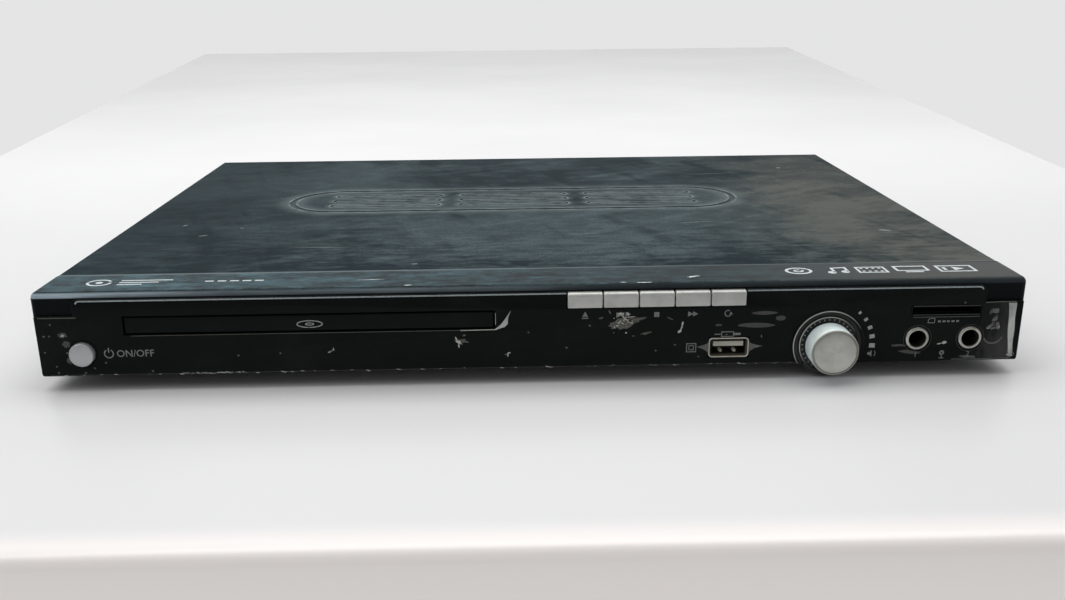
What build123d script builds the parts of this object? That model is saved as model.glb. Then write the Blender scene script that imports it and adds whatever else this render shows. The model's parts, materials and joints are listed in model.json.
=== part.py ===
from build123d import *
import math
import os

# A slim disc player: a steel pan and cover, a black moulded front with a raised fascia,
# and inside it a tray loader, a hinged deck with spindle and laser sled, and three boards.
#
# Millimetres. X runs to the viewer's right, Z is up from the table.
# While the pieces are made, Y is the depth behind the fascia's front face.
# The export at the end moves everything so that the middle of the whole depth is Y = 0.

# Overall sizes
bezel_width = 363.4
bezel_height = 32.6
foot_height = 6.0
bezel_bottom = 5.0
bezel_depth = 24.0
body_depth = 270.0
sheet = 0.8

# Clearances
fit_gap = 0.3
running_gap = 0.06
key_gap = 0.43

# Front moulding
bezel_wall = 2.4
bezel_side_wall = 2.0
bezel_roof = 1.8
bezel_floor = 1.0
bezel_floor_depth = 14.0
bezel_corner = 2.4
bezel_top_round = 2.2
bezel_bottom_round = 2.0

# Fascia panel, glued into a shallow seat in the front moulding
fascia_thickness = 2.0
fascia_proud = 1.2
fascia_side_margin = 1.2
fascia_bottom_margin = 1.0
fascia_ear_height = 24.0
fascia_top_height = 30.3
fascia_ear_width = 15.2
fascia_corner = 2.0

# Disc tray and its door
tray_from_end = 100.1
door_width = 133.6
door_height = 6.0
door_thickness = 2.7
door_middle_z = 25.1
door_inset = 0.3
tray_width = 128.6
tray_length = 162.0
tray_bottom = 22.6
tray_top = 28.2
tray_floor = 2.2
tray_tongue = 1.7
tray_tongue_height = 1.6
disc_recess_radius = 60.8
small_disc_radius = 40.6
small_disc_drop = 1.0
disc_y = 69.5
tray_slot_half = 22.5
tray_travel = 132.0

# Keys and buttons
key_count = 5
key_pitch = 13.12
key_left = 12.4
key_bottom = 29.2
key_top = 34.9
key_top_gap = 0.7
key_proud = 1.0
key_travel = 0.6
flange_thickness = 1.2
power_from_end = 17.0
power_z = 14.6
power_radius = 4.45
power_proud = 2.0
power_travel = 1.5

# Volume knob
knob_from_end = 72.6
knob_z = 13.15
knob_radius = 8.7
knob_length = 9.2
knob_ring_outer = 13.4
knob_ring_inner = 11.4
knob_ring_floor = 0.5
knob_chin_radius = 12.1
knob_chin_back = 12.0
knob_face_margin = 0.75
shaft_radius = 2.95
bushing_radius = 3.5

# Sockets on the front
usb_from_end = 109.7
usb_z = 12.8
usb_width = 13.2
usb_height = 5.9
usb_flare = 0.9
usb_shell_wall = 0.4
usb_depth = 14.0
jack_from_end = 19.9
jack_pitch = 19.7
jack_z = 15.0
jack_bore = 3.2
jack_ring_radius = 4.45
jack_block_back = 34.0
card_from_end = 29.6
card_z = 25.5
card_slot_width = 25.4
card_slot_height = 3.0
card_socket_back = 30.0

# Pan and cover
cover_step = 0.35
cover_drop = 0.3
cover_bend = 1.6
pan_floor_bottom = 6.0
pan_flange_height = 10.0
board_standoff = 4.2
loader_standoff = 2.0
lip_height = 2.4
lip_tab_height = 10.5
lip_tab_width = 16.0
lip_tab_inset = 15.7
vent_count = 11
vent_pitch = 9.0
rear_slot_pitch = 4.0
side_slot_count = 16
side_slot_pitch = 7.0
foot_inset = 31.7
side_screw_inset = 48.0

# Screws
screw_radius = 1.5
screw_length = 6.0
screw_head_radius = 2.9
screw_head_height = 1.7

# Loader
loader_length = 173.0
loader_front = 5.0
rail_inner = 66.5
rail_wall = 3.0
loader_floor = 2.0
gear_y = 19.0
rack_pitch_x = 65.3
rack_module = 0.8
tray_gear_teeth = 14
wheel_teeth = 30
pinion_teeth = 12
belt_thickness = 1.2
pulley_groove = 7.8
motor_groove = 2.2
motor_pulley_x = 22.5
post_radius = 1.5

# Deck that carries the spindle and the laser sled
deck_pivot_y = 158.0
deck_pivot_z = 15.0
deck_thickness = 2.0
deck_drop_deg = 2.8
deck_half = 45.5
deck_front = 42.0
cam_pin_z = 19.0
cam_pin_radius = 1.5
cam_slider_y = 35.0
cam_slider_thickness = 3.0
cam_travel = 22.0
cam_slider_half = 28.0
disc_plane = 25.8
rod_x = 22.0
rod_z = 18.5
rod_radius = 1.5
rod_front = 76.0
rod_back = 154.0
sled_front = 84.5
sled_length = 28.5
sled_rack_x = 27.5
sled_module = 0.6
sled_gear_y = 124.0
step_module = 0.5
step_angle = 18.0

# Boards
board_thickness = 1.6
board_margin = 8.0
main_board_depth = 112.0
main_board_from_tray = 89.6
power_board_right = -24.0
control_board_width = 116.0
control_board_depth = 54.0
control_board_from_end = 7.7
key_board_y = 12.0
rca_columns = (70.0, 84.0, 98.0)
rca_rows = (17.6, 29.6)
coax_x = 122.0
rca_radius = 4.15
rca_base_radius = 4.5
rca_collar_radius = 5.1
rca_reach = 8.0
inlet_from_end = 31.7
inlet_z = 20.0
inlet_width = 22.0
inlet_height = 13.0
inlet_proud = 1.6

# Places worked out from the sizes above
half = bezel_width / 2
tray_x = -(half - tray_from_end)
power_x = -(half - power_from_end)
knob_x = half - knob_from_end
usb_x = half - usb_from_end
jack_xs = (half - jack_from_end - jack_pitch, half - jack_from_end)
card_x = half - card_from_end
inlet_x = -(half - inlet_from_end)
fascia_ear_x = half - fascia_ear_width
cover_width = bezel_width - 2 * cover_step
lip_tab_xs = (-100.0, 12.0, half - lip_tab_inset)
bezel_top = bezel_bottom + bezel_height
bezel_front = fascia_proud
bezel_inner = bezel_front + bezel_wall
pan_floor_top = pan_floor_bottom + sheet
cover_top = bezel_top - cover_drop
cover_under = cover_top - sheet
cover_half = cover_width / 2
cover_start = bezel_depth + fit_gap
rear_wall_y = body_depth - 2 * sheet
door_half = door_width / 2
door_bottom = door_middle_z - door_height / 2
door_top = door_middle_z + door_height / 2
tray_front = door_inset + door_thickness
tray_back = tray_front + tray_length
loader_bottom = pan_floor_top + loader_standoff
loader_top_of_floor = loader_bottom + loader_floor
loader_back = loader_front + loader_length
loader_right = tray_x + rail_inner + rail_wall
control_board_top = 9.4
pcb_bottom = pan_floor_top + board_standoff
pcb_top = pcb_bottom + board_thickness
boards_back = body_depth - board_margin
main_board_left = tray_x + main_board_from_tray
main_board_front = boards_back - main_board_depth
main_board_box = (main_board_left, half - board_margin, main_board_front, boards_back)
power_board_box = (board_margin - half, power_board_right, loader_back + board_margin, boards_back)
control_board_right = half - control_board_from_end
control_board_box = (control_board_right - control_board_width, control_board_right,
                     board_margin, board_margin + control_board_depth)
tray_gear_pitch = rack_module * tray_gear_teeth / 2
tray_gear_x = tray_x + rack_pitch_x + tray_gear_pitch
wheel_pitch = rack_module * wheel_teeth / 2
pinion_pitch = rack_module * pinion_teeth / 2
pulley_x = tray_gear_x - wheel_pitch - pinion_pitch
motor_x = tray_x + motor_pulley_x
sled_gear_pitch = sled_module * pinion_teeth / 2
sled_gear_x = tray_x + sled_rack_x + sled_gear_pitch
step_centres = step_module * (wheel_teeth + pinion_teeth) / 2
sled_motor_x = sled_gear_x + step_centres * math.cos(math.radians(step_angle))
sled_motor_y = sled_gear_y + step_centres * math.sin(math.radians(step_angle))
front_reach = knob_length
rear_reach = body_depth + rca_reach
middle_y = (rear_reach - front_reach) / 2

nodes = {}


# Shape helpers

def slab(x0, x1, y0, y1, z0, z1):
    """A block between two corners."""
    return Pos((x0 + x1) / 2, (y0 + y1) / 2, (z0 + z1) / 2) * Box(x1 - x0, y1 - y0, z1 - z0)


def round_slab(x0, x1, y0, y1, z0, z1, radius, axis=Axis.Z):
    """A block whose edges along one axis are rounded."""
    block = slab(x0, x1, y0, y1, z0, z1)
    return fillet(block.edges().filter_by(axis), radius)


def post(x, y, z0, z1, radius):
    """An upright cylinder."""
    return Pos(x, y, (z0 + z1) / 2) * Cylinder(radius, z1 - z0)


def stub(x, z, y0, y1, radius):
    """A cylinder that lies along Y."""
    return Pos(x, (y0 + y1) / 2, z) * Rot(90, 0, 0) * Cylinder(radius, y1 - y0)


def axle(y, z, x0, x1, radius):
    """A cylinder that lies along X."""
    return Pos((x0 + x1) / 2, y, z) * Rot(0, 90, 0) * Cylinder(radius, x1 - x0)


def cone_stub(x, z, y0, y1, radius0, radius1):
    """A cone along Y, with radius0 at y0 and radius1 at y1."""
    return Pos(x, (y0 + y1) / 2, z) * Rot(-90, 0, 0) * Cone(radius0, radius1, y1 - y0)


def front_outline(points, y0, y1):
    """A closed outline of (x, z) points, as thick as y0 to y1."""
    wire = Polyline([(px, y0, pz) for px, pz in points], close=True)
    return extrude(make_face(wire), y1 - y0, dir=(0, 1, 0))


def plan_outline(points, z0, z1):
    """A closed outline of (x, y) points, as thick as z0 to z1."""
    wire = Polyline([(px, py, z0) for px, py in points], close=True)
    return extrude(make_face(wire), z1 - z0, dir=(0, 0, 1))


def group(shapes):
    """Several separate solids kept together as one piece of the list."""
    return Compound([solid for shape in shapes for solid in shape.solids()])


def screw_up(x, y, z):
    """A pan head screw whose head stands on height z and whose shank points down."""
    head = post(x, y, z, z + screw_head_height, screw_head_radius)
    return head + post(x, y, z - screw_length, z, screw_radius)


def involute_gear(teeth, module, z0, z1, tooth_at_deg, backlash=0.16, stub_share=0.8):
    """A spur gear about the origin, with one tooth centred on the given angle."""
    pressure = math.radians(20)
    pitch = module * teeth / 2
    base = pitch * math.cos(pressure)
    tip = pitch + stub_share * module
    root = pitch - 1.1 * module
    half_at_pitch = math.pi / (2 * teeth) - backlash / (2 * pitch)
    involute_at_pitch = math.tan(pressure) - pressure
    start = max(base, root)
    flank = []
    steps = 4
    for i in range(steps + 1):
        radius = start + (tip - start) * i / steps
        turn = math.acos(min(1.0, base / radius))
        flank.append((radius, half_at_pitch + involute_at_pitch - (math.tan(turn) - turn)))
    if root < base:
        flank.insert(0, (root, flank[0][1]))
    points = []
    for tooth in range(teeth):
        middle = math.radians(tooth_at_deg) + 2 * math.pi * tooth / teeth
        for radius, angle in flank:
            points.append((radius * math.cos(middle - angle), radius * math.sin(middle - angle)))
        for radius, angle in reversed(flank):
            points.append((radius * math.cos(middle + angle), radius * math.sin(middle + angle)))
    return plan_outline(points, z0, z1)


def rack(pitch_x, side, module, y0, y1, gap_at_y, body, z0, z1, backlash=0.16, stub_share=0.8):
    """A straight rack along Y. side is the way its teeth point, and a gap is centred on gap_at_y."""
    tooth_pitch = math.pi * module
    slope = math.tan(math.radians(20))
    half_tooth = tooth_pitch / 4 - backlash / 2
    root_x = pitch_x - side * 1.1 * module
    tip_x = pitch_x + side * stub_share * module
    back_x = root_x - side * body
    first = math.ceil((y0 + tooth_pitch / 2 - gap_at_y) / tooth_pitch)
    last = math.floor((y1 - tooth_pitch / 2 - gap_at_y) / tooth_pitch)
    points = [(back_x, y1), (back_x, y0), (root_x, y0)]
    for i in range(first, last):
        middle = gap_at_y + (i + 0.5) * tooth_pitch
        wide = half_tooth + 1.1 * module * slope
        narrow = half_tooth - stub_share * module * slope
        points += [(root_x, middle - wide), (tip_x, middle - narrow),
                   (tip_x, middle + narrow), (root_x, middle + wide)]
    points.append((root_x, y1))
    return plan_outline(points, z0, z1)


# Steel pan: floor, side flanges and rear wall in one bent sheet

def rear_openings(grow):
    """What the rear wall is cut for, a little larger than the sockets by grow."""
    y0, y1 = rear_wall_y - 1, body_depth + 1
    cut = slab(inlet_x - inlet_width / 2 - grow, inlet_x + inlet_width / 2 + grow, y0, y1,
               inlet_z - inlet_height / 2 - grow, inlet_z + inlet_height / 2 + grow)
    for x in rca_columns:
        for z in rca_rows:
            cut += stub(x, z, y0, y1, rca_collar_radius + grow)
    cut += stub(coax_x, rca_rows[0], y0, y1, rca_collar_radius + grow)
    return cut


def board_posts(box):
    """Four standoff places inside a board's corners."""
    x0, x1, y0, y1 = box
    inset = 6.0
    return [(x, y) for x in (x0 + inset, x1 - inset) for y in (y0 + inset, y1 - inset)]


def loader_posts():
    """Four places where the loader's ears are screwed down."""
    ear = rail_inner + rail_wall + 5.0
    return [(tray_x + sx * ear, y) for sx in (-1, 1) for y in (48.0, loader_back - 20.0)]


def make_base_pan():
    inner = half - bezel_side_wall - 0.5
    flange_x = cover_half - sheet
    floor = slab(-inner, inner, bezel_inner + fit_gap, bezel_depth + 2, pan_floor_bottom, pan_floor_top)
    floor += slab(-flange_x, flange_x, bezel_depth + 2, body_depth - sheet, pan_floor_bottom, pan_floor_top)
    for side in (-1, 1):
        x0, x1 = sorted((side * flange_x, side * (flange_x - sheet)))
        floor += slab(x0, x1, bezel_depth + 2, body_depth - sheet,
                      pan_floor_top, pan_floor_top + pan_flange_height)
    floor += slab(-flange_x + sheet, flange_x - sheet, rear_wall_y, body_depth - sheet,
                  pan_floor_top, cover_under - 0.1)
    for box in (main_board_box, power_board_box):
        for x, y in board_posts(box):
            floor += post(x, y, pan_floor_top, pcb_bottom, 3.5)
            floor -= post(x, y, pan_floor_top, pcb_bottom + 1, screw_radius + 0.05)
    for x, y in loader_posts():
        floor += post(x, y, pan_floor_top, loader_bottom, 4.0)
        floor -= post(x, y, pan_floor_bottom - 1, loader_bottom + 1, screw_radius + 0.05)
    floor -= rear_openings(0.2)
    low, high = pan_floor_bottom - 1, pan_floor_top + 1
    for i in range(vent_count):
        x = board_margin - half + 27.0 + i * vent_pitch
        floor -= slab(x - 1.5, x + 1.5, boards_back - 50, boards_back - 18, low, high)
        x = main_board_left + 22.0 + i * vent_pitch
        floor -= slab(x - 1.5, x + 1.5, main_board_front + 36, boards_back - 36, low, high)
        x = 18.0 + i * rear_slot_pitch
        floor -= slab(x - 1.0, x + 1.0, rear_wall_y - 1, body_depth, 14.0, 28.0)
    for x in lip_tab_xs:
        floor -= stub(x, rear_screw_z(), rear_wall_y - 1, body_depth, screw_radius + 0.05)
    for side in (-1, 1):
        for y in side_screw_ys:
            floor -= axle(y, side_screw_z, min(side * (flange_x - 2), side * (flange_x + 1)),
                          max(side * (flange_x - 2), side * (flange_x + 1)), screw_radius + 0.05)
    return floor


side_screw_ys = (70.0, body_depth - side_screw_inset)
side_screw_z = 12.5


def rear_screw_z():
    """Height of the screws in the cover's rear tabs."""
    return cover_top - lip_tab_height + 4.0


# Steel cover: roof, two sides and a rear lip with tabs

emboss_y = (128.0, 178.0)
emboss_half = 111.0


def pressed_groove(x0, x1, y0, y1, width, depth):
    """A pressed bead that runs round a rounded rectangle."""
    top = cover_top
    corner = (y1 - y0) / 2 - 0.05
    outer = round_slab(x0, x1, y0, y1, top - depth, top + 1, corner)
    inner = round_slab(x0 + width, x1 - width, y0 + width, y1 - width,
                       top - depth - 1, top + 1, corner - width)
    return outer - inner


def make_top_cover():
    outer = slab(-cover_half, cover_half, cover_start, body_depth, 7.0, cover_top)
    outer = fillet(outer.edges().filter_by(Axis.Y).group_by(Axis.Z)[-1], cover_bend)
    inner_half = cover_half - sheet
    inner = slab(-inner_half, inner_half, cover_start - 1, body_depth - sheet, 6.0, cover_under)
    inner = fillet(inner.edges().filter_by(Axis.Y).group_by(Axis.Z)[-1], cover_bend - sheet)
    cover = outer - inner
    lip_low = cover_top - lip_height
    cover -= slab(-inner_half, inner_half, body_depth - 2 * sheet, body_depth + 1, 5.0, lip_low)
    for x in lip_tab_xs:
        tab = slab(x - lip_tab_width / 2, x + lip_tab_width / 2, body_depth - sheet, body_depth,
                   cover_top - lip_tab_height, lip_low)
        cover += tab
        cover -= stub(x, rear_screw_z(), body_depth - 2, body_depth + 1, screw_radius + 0.1)
    for side in (-1, 1):
        x0, x1 = sorted((side * (cover_half - 3), side * (cover_half + 1)))
        for i in range(side_slot_count):
            y = 96.0 + i * side_slot_pitch
            cover -= slab(x0, x1, y - 1.25, y + 1.25, 18.0, 31.0)
        for y in side_screw_ys:
            cover -= axle(y, side_screw_z, x0, x1, screw_radius + 0.1)
    groove = 0.4
    y0, y1 = emboss_y
    cover -= pressed_groove(-emboss_half - 6, emboss_half - 6, y0, y1, 2.4, groove)
    for i in range(3):
        rib = y0 + 11.0 + i * 11.0
        for x0 in (-96.0, -33.0, 30.0):
            cover -= pressed_groove(x0, x0 + 54.0, rib, rib + 6.0, 1.4, groove)
    return cover


# Front moulding and fascia

def fascia_points(grow):
    """The fascia's outline, with both upper corners stepped down and a notch for the keys."""
    side = half - fascia_side_margin + grow
    low = bezel_bottom + fascia_bottom_margin - grow
    ear = bezel_bottom + fascia_ear_height + grow
    top = bezel_bottom + fascia_top_height + grow
    inner = fascia_ear_x + grow
    keys_low = key_bottom - fit_gap + grow
    keys_left = key_left - fit_gap + grow
    keys_right = key_left + key_count * key_pitch + fit_gap - key_gap - grow
    return [(-side, low), (side, low), (side, ear), (inner, ear), (inner, top), (keys_right, top),
            (keys_right, keys_low), (keys_left, keys_low), (keys_left, top), (-inner, top),
            (-inner, ear), (-side, ear)]


def fascia_shape(grow, y0, y1):
    """The fascia as a plate, with its step corners and bottom corners rounded."""
    plate = front_outline(fascia_points(grow), y0, y1)
    top = bezel_bottom + fascia_top_height + grow
    low = bezel_bottom + fascia_bottom_margin - grow
    upright = plate.edges().filter_by(Axis.Y)
    step = [e for e in upright if abs(e.center().Z - top) < 0.01 and abs(e.center().X) > fascia_ear_x - 1]
    foot = [e for e in upright if abs(e.center().Z - low) < 0.01]
    plate = fillet(step, fascia_corner)
    foot = [e for e in plate.edges().filter_by(Axis.Y) if abs(e.center().Z - low) < 0.01]
    return fillet(foot, fascia_corner - 1.0)


def tray_opening(y0, y1):
    gap = 0.6
    reach = door_half + gap
    return slab(tray_x - reach, tray_x + reach, y0, y1, door_bottom - gap, door_top + gap)


def make_front_bezel():
    body = slab(-half, half, bezel_front, bezel_depth, bezel_bottom, bezel_top)
    uprights = [e for e in body.edges().filter_by(Axis.Z) if e.center().Y < bezel_front + 1]
    body = fillet(uprights, bezel_corner)
    low_sides = [e for e in body.edges().filter_by(Axis.Y)
                 if e.center().Z < bezel_bottom + 1 and abs(e.center().X) > half - 1]
    body = fillet(low_sides, bezel_bottom_round)
    front_top = [e for e in body.edges()
                 if e.center().Z > bezel_top - 0.01 and e.center().Y < bezel_depth - 0.5]
    body = fillet(front_top, bezel_top_round)
    side = half - bezel_side_wall
    floor_top = bezel_bottom + bezel_floor
    body -= slab(-side, side, bezel_inner, bezel_depth + 1, floor_top, bezel_top - bezel_roof)
    body -= slab(-side, side, bezel_floor_depth, bezel_depth + 1, bezel_bottom - 1, floor_top + 0.1)
    body -= fascia_shape(0.15, bezel_front - 1, fascia_thickness)
    # The knob's dish hangs below the moulding's foot, and a tapered chin behind it carries on its round.
    body -= stub(knob_x, knob_z, bezel_front - 1, fascia_thickness, knob_chin_radius + 0.1)
    chin = cone_stub(knob_x, knob_z, fascia_thickness, knob_chin_back, knob_chin_radius, bezel_corner + 6.0)
    body += chin & slab(knob_x - 20, knob_x + 20, 0, knob_chin_back + 1, -5, bezel_bottom + 0.6)
    y0, y1 = 0, bezel_inner + 0.5
    body -= tray_opening(y0, y1)
    body -= slab(key_left - fit_gap, key_left + key_count * key_pitch - key_gap + fit_gap, y0, y1,
                 key_bottom - fit_gap, key_top + key_top_gap)
    body -= stub(power_x, power_z, y0, y1, power_radius + fit_gap)
    body -= stub(led_x, power_z, y0, y1, 1.6)
    body -= stub(receiver_x, receiver_z, y0, y1, 3.2)
    body -= stub(knob_x, knob_z, y0, y1, bushing_radius + 0.1)
    body -= slab(usb_x - usb_width / 2 - usb_flare - 0.2, usb_x + usb_width / 2 + usb_flare + 0.2, y0, y1,
                 usb_z - usb_height / 2 - usb_flare - 0.2, usb_z + usb_height / 2 + usb_flare + 0.2)
    for x in jack_xs:
        body -= stub(x, jack_z, y0, y1, jack_ring_radius + 0.15)
    body -= slab(card_x - card_slot_width / 2 - 0.2, card_x + card_slot_width / 2 + 0.2, y0, y1,
                 card_z - card_slot_height / 2 - 0.2, card_z + card_slot_height / 2 + 0.2)
    for x in key_board_screw_xs:
        boss = stub(x, key_board_screw_z, bezel_inner - 0.5, key_board_y, 2.6)
        body += boss
        body -= stub(x, key_board_screw_z, bezel_inner + 1.5, key_board_y + 1, screw_radius + 0.05)
    return body


led_x = power_x + 9.3
receiver_x = key_left + key_count * key_pitch + 16.0
receiver_z = 29.5
key_board_screw_z = 32.0
key_board_screw_xs = (key_left - 4.4, key_left + key_count * key_pitch + 8.0)


def make_fascia():
    plate = fascia_shape(0, 0, fascia_thickness)
    y0, y1 = -1, fascia_thickness + 1
    plate -= tray_opening(y0, y1)
    plate -= stub(power_x, power_z, y0, y1, power_radius + 0.35)
    plate -= stub(knob_x, knob_z, y0, y1, knob_ring_outer + 0.05)
    plate -= slab(usb_x - usb_width / 2 - usb_flare - 0.1, usb_x + usb_width / 2 + usb_flare + 0.1, y0, y1,
                  usb_z - usb_height / 2 - usb_flare - 0.1, usb_z + usb_height / 2 + usb_flare + 0.1)
    for x in jack_xs:
        plate -= stub(x, jack_z, y0, y1, jack_ring_radius + 0.1)
    plate -= slab(card_x - card_slot_width / 2, card_x + card_slot_width / 2, y0, y1,
                  card_z - card_slot_height / 2, card_z + card_slot_height / 2)
    return plate


# Feet and screws

foot_places = [(side * (half - foot_inset), y) for side in (-1, 1) for y in (32.0, body_depth - 30.0)]


def make_feet():
    feet = []
    for x, y in foot_places:
        foot = Pos(x, y, foot_height / 2) * Cone(7.0, 8.0, foot_height)
        feet.append(foot - post(x, y, -1, 1.0, 4.0))
    return group(feet)


def rear_screw(x):
    """A pan head screw through one rear tab, pointing forward."""
    z = rear_screw_z()
    return stub(x, z, body_depth, body_depth + screw_head_height, screw_head_radius) \
        + stub(x, z, body_depth - screw_length, body_depth, screw_radius)


def side_screw(side, y):
    """A pan head screw through one side of the cover, pointing inwards."""
    face = side * cover_half
    head = axle(y, side_screw_z, *sorted((face, face + side * screw_head_height)), screw_head_radius)
    return head + axle(y, side_screw_z, *sorted((face, face - side * screw_length)), screw_radius)


def make_cover_screws():
    screws = [rear_screw(x) for x in lip_tab_xs]
    screws += [side_screw(side, y) for side in (-1, 1) for y in side_screw_ys]
    return group(screws)


def make_inner_screws():
    screws = [screw_up(x, y, loader_top_of_floor) for x, y in loader_posts()]
    for box in (main_board_box, power_board_box):
        screws += [post(x, y, pcb_top, pcb_top + screw_head_height, screw_head_radius)
                   + post(x, y, pan_floor_top + 0.1, pcb_top, screw_radius) for x, y in board_posts(box)]
    back = key_board_y + board_thickness
    for x in key_board_screw_xs:
        screws.append(stub(x, key_board_screw_z, back, back + screw_head_height, 2.4)
                      + stub(x, key_board_screw_z, back - screw_length, back, screw_radius))
    return group(screws)


# Keys, power button and the boards behind them

key_names = ("eject_key", "play_key", "stop_key", "scan_key", "reset_key")


def make_key(index):
    """One key: a cap that fills its share of the notch, a flange that traps it and a stem."""
    x0 = key_left + index * key_pitch
    x1 = x0 + key_pitch - key_gap
    cap = slab(x0, x1, -key_proud, bezel_inner + fit_gap, key_bottom, key_top)
    front = cap.edges().group_by(Axis.Y)[0]
    cap = fillet(front.filter_by(Axis.X).group_by(Axis.Z)[-1], 1.4)
    cap = fillet(cap.edges().filter_by(Axis.X).group_by(Axis.Z)[0].group_by(Axis.Y)[0], 0.5)
    y0 = bezel_inner + fit_gap
    flange = slab(x0, x1, y0, y0 + flange_thickness, key_bottom - 1.3, key_top)
    middle = (x0 + x1) / 2
    stem = slab(middle - 1.5, middle + 1.5, y0 + flange_thickness, key_stem_end, 30.5, 33.5)
    return cap + flange + stem


switch_plunger_front = key_board_y - 4.0
key_stem_end = switch_plunger_front - key_travel - 0.1


def make_key_switches():
    """The tact switches behind the keys: a square can and a round plunger each."""
    switches = []
    for index in range(key_count):
        x = key_left + index * key_pitch + (key_pitch - key_gap) / 2
        can = slab(x - 3, x + 3, key_board_y - 3.4, key_board_y, 29.0, 35.0)
        switches.append(can + stub(x, 32.0, switch_plunger_front, key_board_y - 3.4, 1.7))
    return group(switches)


def make_key_board():
    y0, y1 = key_board_y, key_board_y + board_thickness
    board = slab(key_board_screw_xs[0] - 4, receiver_x + 5, y0, y1, 24.0, 35.6)
    for x in key_board_screw_xs:
        board -= stub(x, key_board_screw_z, y0 - 1, y1 + 1, screw_radius + 0.05)
    return board


def make_ir_receiver():
    """A three legged receiver: a small block with a round window that looks out of the front."""
    block = slab(receiver_x - 2.8, receiver_x + 2.8, bezel_inner + 2.4, key_board_y,
                 receiver_z - 3.2, receiver_z + 3.6)
    dome = stub(receiver_x, receiver_z, bezel_front + 1.4, bezel_inner + 2.4, 2.3)
    return block + dome


def make_power_button():
    y0 = bezel_inner + fit_gap
    cap = stub(power_x, power_z, -power_proud, y0, power_radius)
    cap = fillet(cap.edges().group_by(Axis.Y)[0], 0.7)
    flange = stub(power_x, power_z, y0, y0 + flange_thickness, power_radius + 1.4)
    stem = slab(power_x - 1.6, power_x + 1.6, y0 + flange_thickness, y0 + 10, power_z - 1.6, power_z + 1.6)
    return cap + flange + stem


power_switch_front = bezel_inner + fit_gap + 10 + power_travel + 0.3


def make_power_switch():
    """The latching switch on its own small board, with a plunger that meets the button's stem."""
    y0 = power_switch_front
    body = slab(power_x - 5.5, power_x + 5.5, y0, y0 + 16, power_z - 5.0, power_z + 4.0)
    board = slab(power_x - 8, led_x + 3, y0 - 2, y0 + 20, power_z - 6.2, power_z - 5.0)
    foot = slab(power_x - 7, power_x + 7, y0 + 2, y0 + 14, pan_floor_top, power_z - 6.2)
    return body + board + foot


def make_power_led():
    """The standby lamp on the power switch's board, behind the fascia."""
    lamp = stub(led_x, power_z, bezel_front + 1.0, bezel_inner + 4.0, 1.5)
    lamp += stub(led_x, power_z, bezel_inner + 4.0, bezel_inner + 5.0, 1.9)
    x0, x1 = led_x - 0.6, led_x + 0.6
    leg = slab(x0, x1, bezel_inner + 5.0, power_switch_front + 2, power_z - 0.3, power_z + 0.3)
    drop = slab(x0, x1, power_switch_front + 1.4, power_switch_front + 2, power_z - 5.0, power_z)
    return lamp + leg + drop


# Volume control

def make_knob():
    shell = stub(knob_x, knob_z, -knob_length, -fit_gap, knob_radius)
    shell = chamfer(shell.edges().group_by(Axis.Y)[0], 0.5)
    shell -= stub(knob_x, knob_z, -knob_length - 1, -knob_length + 0.5, knob_radius - knob_face_margin)
    shell -= stub(knob_x, knob_z, -knob_length + 2.2, 1, knob_radius - 1.2)
    shell += stub(knob_x, knob_z, -knob_length + 2.2, -1.2, 4.6)
    shell -= stub(knob_x, knob_z, -knob_length + 2.4, 1, shaft_radius + 0.02)
    return shell


def make_knob_cap():
    return stub(knob_x, knob_z, -knob_length + 0.2, -knob_length + 0.5, knob_radius - knob_face_margin - 0.05)


def make_pot_shaft():
    return stub(knob_x, knob_z, -knob_length + 2.5, bezel_inner + 8.0, shaft_radius)


def make_volume_pot():
    """The potentiometer: a can on the control board and a bushing through the front wall."""
    y0 = bezel_inner
    can = slab(knob_x - 5.5, knob_x + 5.5, y0 + 0.3, y0 + 11, control_board_top, knob_z + 6.0)
    bushing = stub(knob_x, knob_z, 0.6, y0 + 0.3, bushing_radius)
    bore = stub(knob_x, knob_z, 0, y0 + 8.2, shaft_radius + running_gap)
    return (can + bushing) - bore


def rim(y0, outer, inner):
    """A raised ring about the knob's axis, from y0 back to the dish's floor."""
    return stub(knob_x, knob_z, y0, knob_ring_floor, outer) - stub(knob_x, knob_z, y0 - 1, 2, inner)


def make_knob_ring():
    """The dish round the knob, between two rims; its middle hangs below the fascia's foot as a chin."""
    y0, y1 = knob_ring_floor, fascia_thickness
    low = bezel_bottom + fascia_bottom_margin
    dish = stub(knob_x, knob_z, y0, y1, knob_ring_outer)
    dish += rim(-0.5, knob_ring_outer, knob_ring_outer - 0.7)
    dish += rim(-0.2, knob_ring_inner + 0.3, knob_ring_inner - 0.4)
    dish -= slab(knob_x - 20, knob_x + 20, -2, 4, -20, low)
    chin = stub(knob_x, knob_z, y0, y1, knob_chin_radius) + rim(-0.2, knob_chin_radius, knob_ring_inner - 0.4)
    chin &= slab(knob_x - 20, knob_x + 20, -2, 4, -20, low + 0.01)
    return (dish + chin) - stub(knob_x, knob_z, -1, y1 + 1, bushing_radius + 0.1)


# Front sockets

def make_usb_shell():
    """The pressed steel shell, flared at its mouth, with a closed back."""
    w, h = usb_width / 2, usb_height / 2
    shell = slab(usb_x - w, usb_x + w, -0.2, usb_depth, usb_z - h, usb_z + h)
    lip_w, lip_h = w + usb_flare, h + usb_flare
    lip = slab(usb_x - lip_w, usb_x + lip_w, -0.2, 0.4, usb_z - lip_h, usb_z + lip_h)
    lip = fillet(lip.edges().filter_by(Axis.Y), 1.0)
    in_w, in_h = w - usb_shell_wall, h - usb_shell_wall
    hollow = slab(usb_x - in_w, usb_x + in_w, -1, usb_depth - usb_shell_wall, usb_z - in_h, usb_z + in_h)
    return (shell + lip) - hollow


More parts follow.
